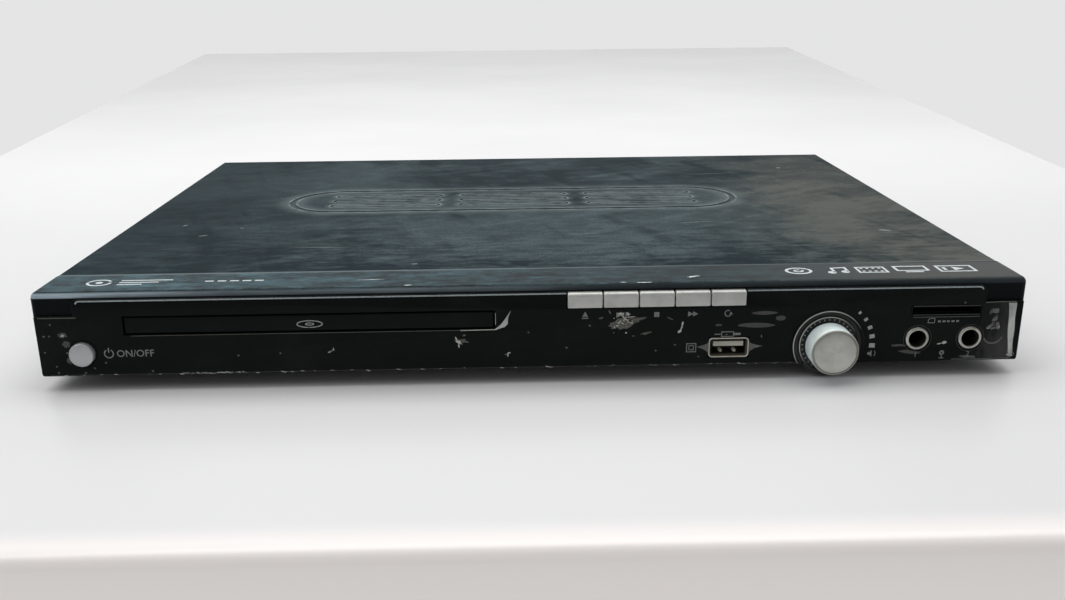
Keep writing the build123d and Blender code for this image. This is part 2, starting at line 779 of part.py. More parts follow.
def make_usb_tongue():
    wall = usb_shell_wall
    top = usb_z + usb_height / 2 - wall
    back = usb_depth - wall
    tongue = slab(usb_x - 5.6, usb_x + 5.6, 1.0, back, top - 2.3, top - 0.5)
    root = slab(usb_x - usb_width / 2 + wall, usb_x + usb_width / 2 - wall, back - 3, back,
                usb_z - usb_height / 2 + wall, top)
    return tongue + root


def make_mic_jacks():
    """Two quarter inch sockets: a block on the control board, bored right through its barrel."""
    jacks = []
    for x in jack_xs:
        block = slab(x - 7.0, x + 7.0, bezel_inner + 0.2, jack_block_back, control_board_top, jack_z + 6.4)
        jacks.append(block - stub(x, jack_z, 0, jack_block_back - 2.0, jack_bore))
    return group(jacks)


def make_jack_rings():
    rings = []
    for x in jack_xs:
        ring = stub(x, jack_z, -0.6, bezel_inner + 0.2, jack_ring_radius)
        ring -= stub(x, jack_z, -1, bezel_inner + 1, jack_bore)
        ring -= cone_stub(x, jack_z, -0.7, 0.5, jack_bore + 1.0, jack_bore)
        rings.append(ring)
    return group(rings)


def make_card_socket():
    """The memory card socket: a flat can on two pegs, open to the front."""
    w = card_slot_width / 2
    back = card_socket_back
    can = slab(card_x - w - 1.4, card_x + w + 1.4, bezel_inner + 0.1, back, card_z - 2.4, card_z + 2.0)
    can -= slab(card_x - w + 0.5, card_x + w - 0.5, 0, back - 2.5, card_z - 1.3, card_z + 1.3)
    for side in (-1, 1):
        x = card_x + side * (w - 0.5)
        can += post(x, back + 12.0, control_board_top, card_z - 0.8, 2.2)
        can += slab(x - 2.2, x + 2.2, back - 2.0, back + 14.2, card_z - 2.4, card_z - 0.8)
    return can


def make_control_board():
    x0, x1, y0, y1 = control_board_box
    board = slab(x0, x1, y0, y1, control_board_top - board_thickness, control_board_top)
    for x in (x0 + 5, x1 - 5):
        board += slab(x - 4, x + 4, y1 - 12, y1 - 2, pan_floor_top, control_board_top - board_thickness)
        board += slab(x - 4, x + 4, y0 + 2, y0 + 8, pan_floor_top, control_board_top - board_thickness)
    return board


# Tray and door

def make_disc_tray():
    w = tray_width / 2
    body = slab(tray_x - w, tray_x + w, tray_front, tray_back, tray_bottom, tray_top)
    floor_z = tray_bottom + tray_floor
    body -= post(tray_x, disc_y, floor_z, tray_top + 1, disc_recess_radius)
    body -= post(tray_x, disc_y, floor_z - small_disc_drop, tray_top + 1, small_disc_radius)
    body -= slab(tray_x - tray_slot_half, tray_x + tray_slot_half, disc_y, tray_back + 1,
                 tray_bottom - 1, tray_top + 1)
    body -= post(tray_x, disc_y, tray_bottom - 1, tray_top + 1, tray_slot_half)
    # The rim behind the disc is stepped down so that the tray is light.
    body -= slab(tray_x - w - 1, tray_x + w + 1, disc_y + 66, tray_back + 1, floor_z + 1.2, tray_top + 1)
    # Finger notches at both sides let the disc be lifted out.
    for side in (-1, 1):
        x0, x1 = sorted((tray_x + side * 48, tray_x + side * (w - 1.4)))
        body -= slab(x0, x1, disc_y - 16, disc_y + 16, floor_z, tray_top + 1)
    # A tongue on the left side and the rack on the right side run in the frame's guides.
    body += slab(tray_x - w - tray_tongue, tray_x - w, tray_front + 9, tray_back,
                 tray_bottom, tray_bottom + tray_tongue_height)
    body += rack(tray_x + rack_pitch_x, 1, rack_module, 10.0, tray_back - 3, gear_y, 1.2,
                 tray_bottom, tray_bottom + tray_tongue_height)
    return body


def make_tray_door():
    door = slab(tray_x - door_half, tray_x + door_half, door_inset, tray_front, door_bottom, door_top)
    return fillet(door.edges().group_by(Axis.Y)[0], 0.4)


# Loader frame, bridge and clamper

bridge_z = 29.6
bridge_half_y = 19.0
deck_opening = (39.5, 168.0)


def make_loader_frame():
    outer = rail_inner + rail_wall
    floor = slab(tray_x - outer, tray_x + outer, loader_front, loader_back,
                 loader_bottom, loader_top_of_floor)
    floor -= slab(tray_x - deck_half - 1, tray_x + deck_half + 1, *deck_opening,
                  loader_bottom - 1, loader_top_of_floor + 1)
    for side in (-1, 1):
        x0, x1 = sorted((tray_x + side * rail_inner, tray_x + side * outer))
        floor += slab(x0, x1, loader_front, loader_back, loader_top_of_floor, 26.4)
        x0, x1 = sorted((tray_x + side * 63.4, tray_x + side * rail_inner))
        floor += slab(x0, x1, loader_front, loader_back, 20.6, tray_bottom - 0.2)
        x0, x1 = sorted((tray_x + side * 64.8, tray_x + side * rail_inner))
        for y in (30.0, 96.0, 120.0, 158.0):
            floor += slab(x0, x1, y, y + 10, tray_bottom + tray_tongue_height + 0.3, 25.8)
        x0, x1 = sorted((tray_x + side * (deck_half + 1), tray_x + side * (deck_half + 4)))
        ear = slab(x0, x1, deck_pivot_y - 5, deck_pivot_y + 5, loader_top_of_floor, deck_pivot_z + 3.6)
        floor += ear - axle(deck_pivot_y, deck_pivot_z, x0 - 1, x1 + 1, 2.1)
    floor += slab(tray_x - rail_inner, tray_x + rail_inner, loader_back - 3, loader_back,
                  loader_top_of_floor, 20.4)
    floor += slab(tray_x - rail_inner, tray_x + rail_inner, loader_front, loader_front + 1.0,
                  loader_top_of_floor, 21.4)
    for x, y in loader_posts():
        floor += slab(min(x - 5, x + 5), max(x - 5, x + 5), y - 6, y + 6, loader_bottom, loader_top_of_floor)
        floor -= post(x, y, loader_bottom - 1, loader_top_of_floor + 1, screw_radius + 0.05)
    # Walls that guide the cam slider, before and behind it.
    y0 = cam_slider_y - cam_slider_thickness / 2 - 0.3
    y1 = cam_slider_y + cam_slider_thickness / 2 + 0.3
    left = tray_x - cam_slider_half - cam_travel
    floor += slab(left, tray_x + cam_slider_half, y0 - 1.4, y0, loader_top_of_floor, 13.4)
    floor += slab(left, tray_x + cam_slider_half, y1, y1 + 1.4, loader_top_of_floor, 12.2)
    # The right rail is open where the large wheel turns and where the tray's gear reaches in.
    wall_x0, wall_x1 = tray_x + rail_inner - 0.01, tray_x + outer + 0.01
    floor -= slab(wall_x0, wall_x1, gear_y - wheel_pitch - 0.9, gear_y + wheel_pitch + 1.2,
                  gear_floor_z - 0.2, 17.8)
    floor -= slab(wall_x0, wall_x1, gear_y - 7.2, gear_y + 7.2, 17.7, 27.0)
    # The deck's pin comes down between these guides.
    floor -= slab(tray_x - 3, tray_x + 3, y0 - 2, y1 + 2, loader_top_of_floor, 14.0)
    # Posts for the two gears, each with a shoulder for the gear to stand on.
    floor += slab(tray_x + outer - 1, tray_gear_x + 6, gear_y - 6, gear_y + 6,
                  loader_bottom, loader_top_of_floor)
    for x, top in ((tray_gear_x, 24.0), (pulley_x, 22.0)):
        floor += post(x, gear_y, loader_top_of_floor, gear_floor_z, 3.4)
        floor += post(x, gear_y, gear_floor_z, top, post_radius)
    # The motor's cup, open below.
    floor += post(motor_x, gear_y, loader_top_of_floor, motor_top + 1.2, motor_radius + 1.8)
    floor -= post(motor_x, gear_y, loader_bottom - 1, motor_top, motor_radius + 0.1)
    floor -= post(motor_x, gear_y, motor_top - 1, motor_top + 2, 2.0)
    return floor


gear_floor_z = 14.2
motor_radius = 10.0
motor_top = 16.6
motor_bottom = 8.0


def make_loading_motor():
    return post(motor_x, gear_y, motor_bottom, motor_top, motor_radius) \
        + post(motor_x, gear_y, motor_top, motor_top + 1.0, 1.8)


belt_bottom = 19.6


def make_motor_pulley():
    """The pulley on the motor's shaft: a groove between two flanges."""
    z0, z1 = belt_bottom - 0.8, belt_bottom + belt_thickness + 0.8
    pulley = post(motor_x, gear_y, z0, z1, motor_groove)
    pulley += post(motor_x, gear_y, z0, belt_bottom - 0.15, motor_groove + 1.2)
    pulley += post(motor_x, gear_y, belt_bottom + belt_thickness + 0.15, z1, motor_groove + 1.2)
    return pulley + post(motor_x, gear_y, motor_top + 1.1, z0, 1.0)


def make_pulley_gear():
    """A grooved pulley over a small pinion, on one hub."""
    z0 = gear_floor_z + 0.1
    half_step = 180.0 / pinion_teeth
    pinion = Pos(pulley_x, gear_y, 0) * involute_gear(pinion_teeth, rack_module, z0, 18.6, half_step)
    z1, z2 = belt_bottom - 1.0, belt_bottom + belt_thickness + 1.0
    wheel = post(pulley_x, gear_y, z1, z2, pulley_groove)
    wheel += post(pulley_x, gear_y, z1, belt_bottom - 0.15, pulley_groove + 1.1)
    wheel += post(pulley_x, gear_y, belt_bottom + belt_thickness + 0.15, z2, pulley_groove + 1.1)
    return (pinion + wheel) - post(pulley_x, gear_y, 0, 40, post_radius + running_gap)


def make_drive_gear():
    """The wheel that the pinion turns, with the tray's own gear above it on the same hub."""
    z0 = gear_floor_z + 0.1
    wheel = Pos(tray_gear_x, gear_y, 0) * involute_gear(wheel_teeth, rack_module, z0, 17.4, 180.0)
    hub = post(tray_gear_x, gear_y, 17.4, tray_bottom, 3.0)
    top = tray_bottom + tray_tongue_height
    small = involute_gear(tray_gear_teeth, rack_module, tray_bottom, top, 180.0)
    small = Pos(tray_gear_x, gear_y, 0) * small
    return (wheel + hub + small) - post(tray_gear_x, gear_y, 0, 40, post_radius + running_gap)


def belt_outline(radius_big, radius_small):
    """A closed face round two pulleys, from the tangent arcs and the straight runs between them."""
    span = pulley_x - motor_x
    lean = math.acos((radius_big - radius_small) / span)
    def on(cx, radius, angle):
        return (cx + radius * math.cos(angle), gear_y + radius * math.sin(angle), belt_bottom)
    turn = math.pi - lean
    top_big, low_big = on(pulley_x, radius_big, turn), on(pulley_x, radius_big, -turn)
    top_small, low_small = on(motor_x, radius_small, turn), on(motor_x, radius_small, -turn)
    loop = [Line(top_small, top_big),
            ThreePointArc(top_big, on(pulley_x, radius_big, 0), low_big),
            Line(low_big, low_small),
            ThreePointArc(low_small, on(motor_x, radius_small, math.pi), top_small)]
    return make_face(Wire(loop))


def make_loading_belt():
    slack = 0.15
    inner = belt_outline(pulley_groove + slack, motor_groove + slack)
    outer = belt_outline(pulley_groove + slack + belt_thickness, motor_groove + slack + belt_thickness)
    up = (0, 0, 1)
    return extrude(outer, belt_thickness, dir=up) - extrude(inner, belt_thickness, dir=up)


def make_clamp_bridge():
    """The strap over the tray that carries the clamper, on a leg at each rail."""
    outer = rail_inner + rail_wall
    y0, y1 = disc_y - bridge_half_y, disc_y + bridge_half_y
    strap = slab(tray_x - outer, tray_x + outer, y0, y1, bridge_z, bridge_z + 1.2)
    strap -= post(tray_x, disc_y, bridge_z - 1, bridge_z + 2, clamper_neck + 1.0)
    for side in (-1, 1):
        x0, x1 = sorted((tray_x + side * (rail_inner + 0.5), tray_x + side * outer))
        strap += slab(x0, x1, y0, y1, 26.4, bridge_z)
    for side in (-1, 1):
        x0, x1 = sorted((tray_x + side * 24, tray_x + side * 56))
        strap += slab(x0, x1, y0 + 3, y0 + 5, bridge_z + 1.2, bridge_z + 3)
        strap += slab(x0, x1, y1 - 5, y1 - 3, bridge_z + 1.2, bridge_z + 3)
    return strap


clamper_neck = 11.0
clamper_bottom = 26.5


def make_clamper():
    """The puck that pins the disc: a top flange on the bridge, a neck and a pressing face."""
    top = bridge_z + 1.2 + 0.2
    puck = post(tray_x, disc_y, top, top + 1.2, clamper_neck + 4)
    puck += post(tray_x, disc_y, 28.9, top, clamper_neck)
    puck += post(tray_x, disc_y, clamper_bottom, 28.9, 14.5)
    puck -= post(tray_x, disc_y, clamper_bottom - 1, 28.4, 8.2)
    puck -= post(tray_x, disc_y, top - 0.6, top + 2, 7.4)
    return puck


def make_clamper_magnet():
    top = bridge_z + 1.2 + 0.2
    return post(tray_x, disc_y, top - 0.6, top + 1.4, 7.3) - post(tray_x, disc_y, 20, 40, 2.5)


# Deck, spindle and sled

def make_deck():
    """The hinged plate with its pivots, cam pin, rod holders and the gear's post."""
    z0, z1 = deck_pivot_z - deck_thickness / 2, deck_pivot_z + deck_thickness / 2
    back = deck_pivot_y + 3
    plate = slab(tray_x - deck_half, tray_x + deck_half, deck_front, back, z0, z1)
    plate -= slab(tray_x - 18.5, tray_x + 18.5, disc_y + 17, 149.0, z0 - 1, z1 + 1)
    plate += slab(tray_x - 20, tray_x + 20, deck_front, deck_front + 2, z1, cam_pin_z + 2)
    pin_front = cam_slider_y - cam_slider_thickness / 2 - 1.2
    plate += stub(tray_x, cam_pin_z, pin_front, deck_front, cam_pin_radius)
    plate += axle(deck_pivot_y, deck_pivot_z, tray_x - deck_half - 3.8, tray_x + deck_half + 3.8, 2.0)
    plate -= slab(tray_x - deck_half - 5, tray_x - deck_half, 0, back - 6, z0 - 5, z1 + 5)
    for side in (-1, 1):
        x = tray_x + side * rod_x
        for y in (rod_front, rod_back - 4):
            plate += slab(x - 1.8, x + 1.6, y, y + 4, z1, rod_z + 2.1)
        plate -= stub(x, rod_z, rod_front + 1, rod_back - 1, rod_radius + 0.01)
    plate += post(sled_gear_x, sled_gear_y, z1, 16.6, 2.6)
    plate += post(sled_gear_x, sled_gear_y, 16.6, 22.0, 1.2)
    return plate


def make_guide_rods():
    return group([stub(tray_x + side * rod_x, rod_z, rod_front + 1, rod_back - 1, rod_radius)
                              for side in (-1, 1)])


def make_cam_slider():
    """A bar across the loader whose slanted slot raises and lowers the deck's pin."""
    y0, y1 = cam_slider_y - cam_slider_thickness / 2, cam_slider_y + cam_slider_thickness / 2
    bar = slab(tray_x - cam_slider_half, tray_x + cam_slider_half, y0, y1, loader_top_of_floor + 0.15, 21.6)
    arm = cam_pin_arm()
    drop = arm * math.sin(math.radians(deck_drop_deg))
    slot = cam_pin_radius + 0.25
    slant = math.degrees(math.atan2(-drop, cam_travel))
    run = math.hypot(cam_travel, drop)
    cutter = Pos(tray_x + cam_travel / 2, cam_slider_y, cam_pin_z - drop / 2) * Rot(0, -slant, 0) \
        * Box(run, cam_slider_thickness + 2, 2 * slot)
    bar -= cutter
    bar -= stub(tray_x, cam_pin_z, y0 - 1, y1 + 1, slot)
    bar -= stub(tray_x + cam_travel, cam_pin_z - drop, y0 - 1, y1 + 1, slot)
    return bar


def cam_pin_arm():
    """How far the middle of the cam pin is in front of the deck's pivot."""
    return deck_pivot_y - cam_slider_y


def make_spindle_motor():
    """The fixed half of the spindle: a base on the deck, a bearing sleeve and the coil ring."""
    z0 = deck_pivot_z + deck_thickness / 2
    base = post(tray_x, disc_y, z0, z0 + 0.8, 15.0)
    coils = post(tray_x, disc_y, z0 + 0.8, 20.6, 10.2)
    sleeve_bore = post(tray_x, disc_y, z0 + 0.4, 30, 1.0 + running_gap)
    return base + coils - sleeve_bore


def make_turntable():
    """The turning half: shaft, magnet cup, the seat for the disc and the centring hub."""
    z0 = deck_pivot_z + deck_thickness / 2
    rotor = post(tray_x, disc_y, z0 + 1.2, 22.4, 13.4) - post(tray_x, disc_y, z0, 21.0, 11.6)
    seat = post(tray_x, disc_y, 22.4, disc_plane - 0.6, 9.0)
    seat += post(tray_x, disc_y, disc_plane - 1.4, disc_plane, 13.0)
    hub = post(tray_x, disc_y, disc_plane, disc_plane + 1.2, 7.4)
    hub += Pos(tray_x, disc_y, disc_plane + 1.6) * Cone(7.4, 6.0, 0.8)
    shaft = post(tray_x, disc_y, z0 + 0.6, 22.0, 1.0)
    return rotor + seat + hub + shaft


def make_sled():
    """The laser unit: a body on both rods, the lens well and the rack that drives it."""
    y0, y1 = sled_front, sled_front + sled_length
    body = slab(tray_x - 24.4, tray_x + 24.2, y0, y1, 16.4, 20.8)
    lens_y = y0 + 9.5
    body += slab(tray_x - 12, tray_x + 12, y0, y0 + 20, 20.8, 23.4)
    body -= slab(tray_x - 6.2, tray_x + 6.2, lens_y - 6.2, lens_y + 6.2, 18.0, 24.0)
    for side in (-1, 1):
        body -= stub(tray_x + side * rod_x, rod_z, y0 - 1, y1 + 1, rod_radius + running_gap)
    body += rack(tray_x + sled_rack_x, 1, sled_module, y0 + 1, sled_gear_y + 4, sled_gear_y, 2.7, 17.0, 19.2)
    return body


def make_lens_carrier():
    """The focusing lens in its square holder, which floats in the sled's well."""
    x, y = tray_x, sled_front + 9.5
    holder = slab(x - 5.9, x + 5.9, y - 5.9, y + 5.9, 19.0, 22.6)
    holder += post(x, y, 22.6, 23.6, 4.6)
    lens = Pos(x, y, 23.6) * Sphere(3.2)
    return holder + (lens & slab(x - 4, x + 4, y - 4, y + 4, 23.0, 24.2))


def make_sled_motor():
    z0 = deck_pivot_z + deck_thickness / 2
    can = post(sled_motor_x, sled_motor_y, z0, 20.4, 6.4)
    return can + post(sled_motor_x, sled_motor_y, 20.4, 20.7, 1.6)


def make_sled_pinion():
    gap_deg = step_angle + 180.0 + 180.0 / pinion_teeth
    teeth = involute_gear(pinion_teeth, step_module, 20.8, 22.2, gap_deg, 0.12)
    return Pos(sled_motor_x, sled_motor_y, 0) * teeth


def make_sled_gear():
    """The step gear between the sled's rack and its motor."""
    small = involute_gear(pinion_teeth, sled_module, 16.7, 21.0, 180.0, 0.14)
    large = involute_gear(wheel_teeth, step_module, 21.0, 22.2, step_angle, 0.12)
    gear = Pos(sled_gear_x, sled_gear_y, 0) * (small + large)
    return gear - post(sled_gear_x, sled_gear_y, 0, 40, 1.2 + running_gap)


# Power supply, main board and rear sockets

def board_with_holes(box):
    x0, x1, y0, y1 = box
    board = slab(x0, x1, y0, y1, pcb_bottom, pcb_top)
    for x, y in board_posts(box):
        board -= post(x, y, pcb_bottom - 1, pcb_top + 1, screw_radius + 0.05)
    return board


def make_transformer():
    """The switching transformer: a bobbin with a ferrite core round it."""
    x, y, z = -96.0, boards_back - 40.0, pcb_top
    bobbin = slab(x - 9, x + 9, y - 10, y + 10, z, z + 15)
    core = slab(x - 12, x + 12, y - 4, y + 4, z + 1, z + 17)
    return bobbin + core


def make_capacitors():
    """The upright capacitors of both boards."""
    power_front = power_board_box[2]
    left = main_board_left
    places = [(-124, power_front + 24, 8.0, 19), (-62, power_front + 22, 5.0, 16),
              (-50, power_front + 22, 5.0, 16), (-62, boards_back - 40, 5.0, 16),
              (-42, boards_back - 26, 4.0, 12),
              (left + 22, main_board_front + 20, 4.0, 11), (left + 34, main_board_front + 20, 4.0, 11),
              (left + 22, boards_back - 22, 3.2, 8), (134, main_board_front + 26, 4.0, 11),
              (148, main_board_front + 26, 3.2, 8)]
    return group([post(x, y, pcb_top, pcb_top + height, radius) for x, y, radius, height in places])


def make_decoder_chip():
    """The decoder and its memory: flat packages on the main board."""
    front = main_board_front + 30
    decoder = slab(78, 102, front, front + 24, pcb_top, pcb_top + 1.6)
    memory = slab(112, 124, front + 2, front + 24, pcb_top, pcb_top + 1.2)
    return group([decoder, memory])


def make_rca_block():
    """The moulded block that holds the rear sockets, with a collar through the wall for each."""
    y0 = rear_wall_y - 14
    block = slab(rca_columns[0] - 7, rca_columns[-1] + 7, y0, rear_wall_y, pcb_top, rca_rows[1] + 6)
    block += slab(coax_x - 7, coax_x + 7, y0, rear_wall_y, pcb_top, rca_rows[0] + 6)
    for x, z in rca_places():
        block += stub(x, z, rear_wall_y, body_depth + 0.6, rca_collar_radius)
        block -= stub(x, z, rear_wall_y - 3, body_depth + 1, rca_base_radius)
    return block


def rca_places():
    return [(x, z) for x in rca_columns for z in rca_rows] + [(coax_x, rca_rows[0])]


def make_rca_shells():
    """The outer contacts: a thin metal sleeve on an insulating core, one for each socket."""
    sleeves = []
    for x, z in rca_places():
        sleeve = stub(x, z, rear_wall_y - 3, body_depth + 0.6, rca_base_radius)
        sleeve += stub(x, z, body_depth + 0.6, body_depth + rca_reach, rca_radius)
        sleeves.append(sleeve - stub(x, z, rear_wall_y + 2, body_depth + rca_reach + 1, 1.6))
    return group(sleeves)


def make_mains_inlet():
    """The two pin inlet: a figure of eight well with its pins, on the power board."""
    w, h = inlet_width / 2 - 0.2, inlet_height / 2 - 0.2
    y1 = body_depth + inlet_proud
    y0 = body_depth - 18.0
    body = slab(inlet_x - w, inlet_x + w, y0, y1, inlet_z - h, inlet_z + h)
    body += slab(inlet_x - w, inlet_x + w, y0, y0 + 8.0, pcb_top, inlet_z - h)
    flange = slab(inlet_x - w - 2.4, inlet_x + w + 2.4, body_depth, y1, inlet_z - h - 2.0, inlet_z + h + 2.0)
    body += fillet(flange.edges().filter_by(Axis.Y), 1.2)
    well = slab(inlet_x - 4.3, inlet_x + 4.3, y1 - 12, y1 + 1, inlet_z - 4.0, inlet_z + 4.0)
    for side in (-1, 1):
        well += stub(inlet_x + side * 4.3, inlet_z, y1 - 12, y1 + 1, 4.0)
    body -= well
    for side in (-1, 1):
        body += stub(inlet_x + side * 4.3, inlet_z, y1 - 13, y1 - 2.5, 1.2)
    return body


def make_flat_cables():
    """The flat cables from the main board to the loader, the keys and the control board."""
    thick = 0.3
    z = pcb_top + 1.0
    y0, y1 = loader_back - 13.0, loader_back - 2.0
    bend = loader_right + 11.1
    socket = main_board_left + 4.0
    loader = slab(bend, socket, y0, y1, z, z + thick)
    loader += slab(bend, bend + thick, y0, y1, loader_top_of_floor, z)
    loader += slab(loader_right + 0.6, bend, y0, y1, loader_top_of_floor, loader_top_of_floor + thick)
    loader += slab(socket, socket + 2.0, y0 - 2, y1 + 2, pcb_top, z + 1.6)
    y0, y1 = control_board_box[3] - 2.0, main_board_front + 4.0
    front = slab(100.0, 112.0, y0, y1 + 2, z + 2, z + 2 + thick)
    front += slab(100.0, 112.0, y0, y0 + thick, control_board_top, z + 2)
    front += slab(98.0, 114.0, y1, y1 + 3, pcb_top, z + 3.6)
    keys = slab(50.0, 58.0, key_board_y + board_thickness, y1 + 1, 26.0, 26.0 + thick)
    keys += slab(50.0, 58.0, y1 + 1 - thick, y1 + 1, z + 2, 26.0)
    keys += slab(48.0, 60.0, y1, y1 + 3, pcb_top, z + 2)
    return group([loader, front, keys])


nodes["base_pan"] = make_base_pan()
nodes["top_cover"] = make_top_cover()
nodes["front_bezel"] = make_front_bezel()
nodes["fascia"] = make_fascia()
nodes["rubber_feet"] = make_feet()
nodes["cover_screws"] = make_cover_screws()
nodes["inner_screws"] = make_inner_screws()
for number, name in enumerate(key_names):
    nodes[name] = make_key(number)
nodes["key_switches"] = make_key_switches()
nodes["key_board"] = make_key_board()
nodes["ir_receiver"] = make_ir_receiver()
nodes["power_button"] = make_power_button()
nodes["power_switch"] = make_power_switch()
nodes["power_led"] = make_power_led()
nodes["volume_knob"] = make_knob()
nodes["knob_cap"] = make_knob_cap()
nodes["pot_shaft"] = make_pot_shaft()
nodes["volume_pot"] = make_volume_pot()
nodes["knob_ring"] = make_knob_ring()
nodes["usb_shell"] = make_usb_shell()
nodes["usb_tongue"] = make_usb_tongue()
nodes["mic_jacks"] = make_mic_jacks()
nodes["jack_rings"] = make_jack_rings()
nodes["card_socket"] = make_card_socket()
nodes["control_board"] = make_control_board()
nodes["disc_tray"] = make_disc_tray()
nodes["tray_door"] = make_tray_door()
nodes["loader_frame"] = make_loader_frame()
nodes["clamp_bridge"] = make_clamp_bridge()
nodes["clamper"] = make_clamper()
nodes["clamper_magnet"] = make_clamper_magnet()
nodes["loading_motor"] = make_loading_motor()
nodes["motor_pulley"] = make_motor_pulley()
nodes["loading_belt"] = make_loading_belt()
nodes["pulley_gear"] = make_pulley_gear()
nodes["drive_gear"] = make_drive_gear()
nodes["cam_slider"] = make_cam_slider()
nodes["deck"] = make_deck()
nodes["guide_rods"] = make_guide_rods()
nodes["spindle_motor"] = make_spindle_motor()
nodes["turntable"] = make_turntable()
nodes["sled"] = make_sled()
nodes["lens_carrier"] = make_lens_carrier()
nodes["sled_motor"] = make_sled_motor()
nodes["sled_pinion"] = make_sled_pinion()
nodes["sled_gear"] = make_sled_gear()
nodes["power_board"] = board_with_holes(power_board_box)
nodes["main_board"] = board_with_holes(main_board_box)
nodes["power_transformer"] = make_transformer()
nodes["board_capacitors"] = make_capacitors()
nodes["decoder_chips"] = make_decoder_chip()
nodes["rca_block"] = make_rca_block()
nodes["rca_shells"] = make_rca_shells()
nodes["mains_inlet"] = make_mains_inlet()
nodes["flat_cables"] = make_flat_cables()

os.makedirs("parts", exist_ok=True)
for name, shape in nodes.items():
    export_step(Pos(0, -middle_y, 0) * shape, f"parts/{name}.step")
print("depth of the fascia's front face in the part's frame:", round(-middle_y, 3), "nodes:", len(nodes))
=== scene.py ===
import json
import logging
import random
from dataclasses import dataclass
from enum import Enum
from math import copysign, cos, pi, radians, sin
from typing import Callable, Optional, Sequence, Union

import bmesh
import bpy
from mathutils import Matrix, Vector


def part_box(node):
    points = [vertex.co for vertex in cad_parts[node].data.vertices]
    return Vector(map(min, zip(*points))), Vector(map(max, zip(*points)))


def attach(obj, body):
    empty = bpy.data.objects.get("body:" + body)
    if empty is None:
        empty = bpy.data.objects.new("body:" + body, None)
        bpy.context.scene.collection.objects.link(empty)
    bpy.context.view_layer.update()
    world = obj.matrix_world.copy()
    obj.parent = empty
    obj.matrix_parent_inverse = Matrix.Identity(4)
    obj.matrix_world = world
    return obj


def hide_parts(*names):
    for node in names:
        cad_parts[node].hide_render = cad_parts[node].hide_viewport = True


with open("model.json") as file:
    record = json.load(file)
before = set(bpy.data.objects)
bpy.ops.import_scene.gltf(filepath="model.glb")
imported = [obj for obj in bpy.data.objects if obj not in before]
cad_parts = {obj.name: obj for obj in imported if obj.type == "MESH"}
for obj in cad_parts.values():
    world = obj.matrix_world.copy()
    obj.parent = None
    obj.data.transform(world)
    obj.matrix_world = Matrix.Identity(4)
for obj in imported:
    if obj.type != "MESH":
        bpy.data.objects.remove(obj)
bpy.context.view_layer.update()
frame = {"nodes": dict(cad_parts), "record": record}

# Sizes are millimetres. X runs to the viewer's right, depth goes back from the fascia's face, Z is up.

MM = 0.001
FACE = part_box("fascia")[0].y

Number = Union["Term", float, int, Sequence[float]]
Colour = tuple[float, float, float]
Point2 = tuple[float, float]
Material = bpy.types.Material
Mesh = bpy.types.Mesh
Shape = bmesh.types.BMesh
Socket = bpy.types.NodeSocket

logging.basicConfig(level=logging.INFO, format="%(name)s: %(message)s")
log = logging.getLogger("player")


class Body(str, Enum):
    """The bodies that carry the dressed pieces."""

    CASE = "case"
    TRAY = "tray"
    VOLUME = "volume_control"
    POWER = "power_button"


KEY_NAMES = ("eject", "play", "stop", "scan", "reset")


class Side(Enum):
    """The plane that a flat outline is laid on, as the map from its own two axes and its rise."""

    FRONT = "front"
    TOP = "top"
    REAR = "rear"

    def place(self, across: float, up: float, rise: float, level: float) -> Vector:
        """A point of the plane in millimetres.

        Args:
            across: distance along X.
            up: height on the front and rear, depth on the top.
            rise: how far the point stands out of the plane.
            level: the depth of the front or rear plane, or the height of the top plane.

        Returns:
            The point as x, depth and height.
        """
        if self is Side.TOP:
            return Vector((across, up, level + rise))
        if self is Side.REAR:
            return Vector((across, level + rise, up))
        return Vector((across, level - rise, up))


@dataclass(frozen=True)
class Room:
    """A node's box in millimetres, its depth counted back from the fascia's face."""

    low: Vector
    high: Vector

    @classmethod
    def of(cls, node: str) -> "Room":
        """The room that a CAD node takes at rest."""
        low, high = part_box(node)
        shift = Vector((0.0, FACE, 0.0))
        return cls((low - shift) / MM, (high - shift) / MM)

    @property
    def middle(self) -> Vector:
        """The centre of the box."""
        return (self.low + self.high) / 2

    @property
    def size(self) -> Vector:
        """The box's width, depth and height."""
        return self.high - self.low


# Shader maths

def add_node(tree: bpy.types.NodeTree, kind: str, settings: dict, sockets: dict) -> bpy.types.Node:
    """Adds any node to a tree.

    Args:
        tree: the tree.
        kind: the node's type.
        settings: attributes, set before the sockets.
        sockets: values or links by input index or name.

    Returns:
        The node.
    """
    made = tree.nodes.new(kind)
    for key, value in settings.items():
        setattr(made, key, value)
    for key, value in sockets.items():
        if isinstance(value, Socket):
            tree.links.new(value, made.inputs[key])
        else:
            made.inputs[key].default_value = value
    return made


def operator(operation: str, swapped: bool = False) -> Callable[["Term", "Number"], "Term"]:
    """An operator on terms that adds one Math node.

    Args:
        operation: what the node works out.
        swapped: true where the term stands on the right.

    Returns:
        The method.
    """
    def apply(self: "Term", other: Number) -> "Term":
        """Adds the node for the two values."""
        return self.math(operation, *((other, self) if swapped else (self, other)))
    return apply


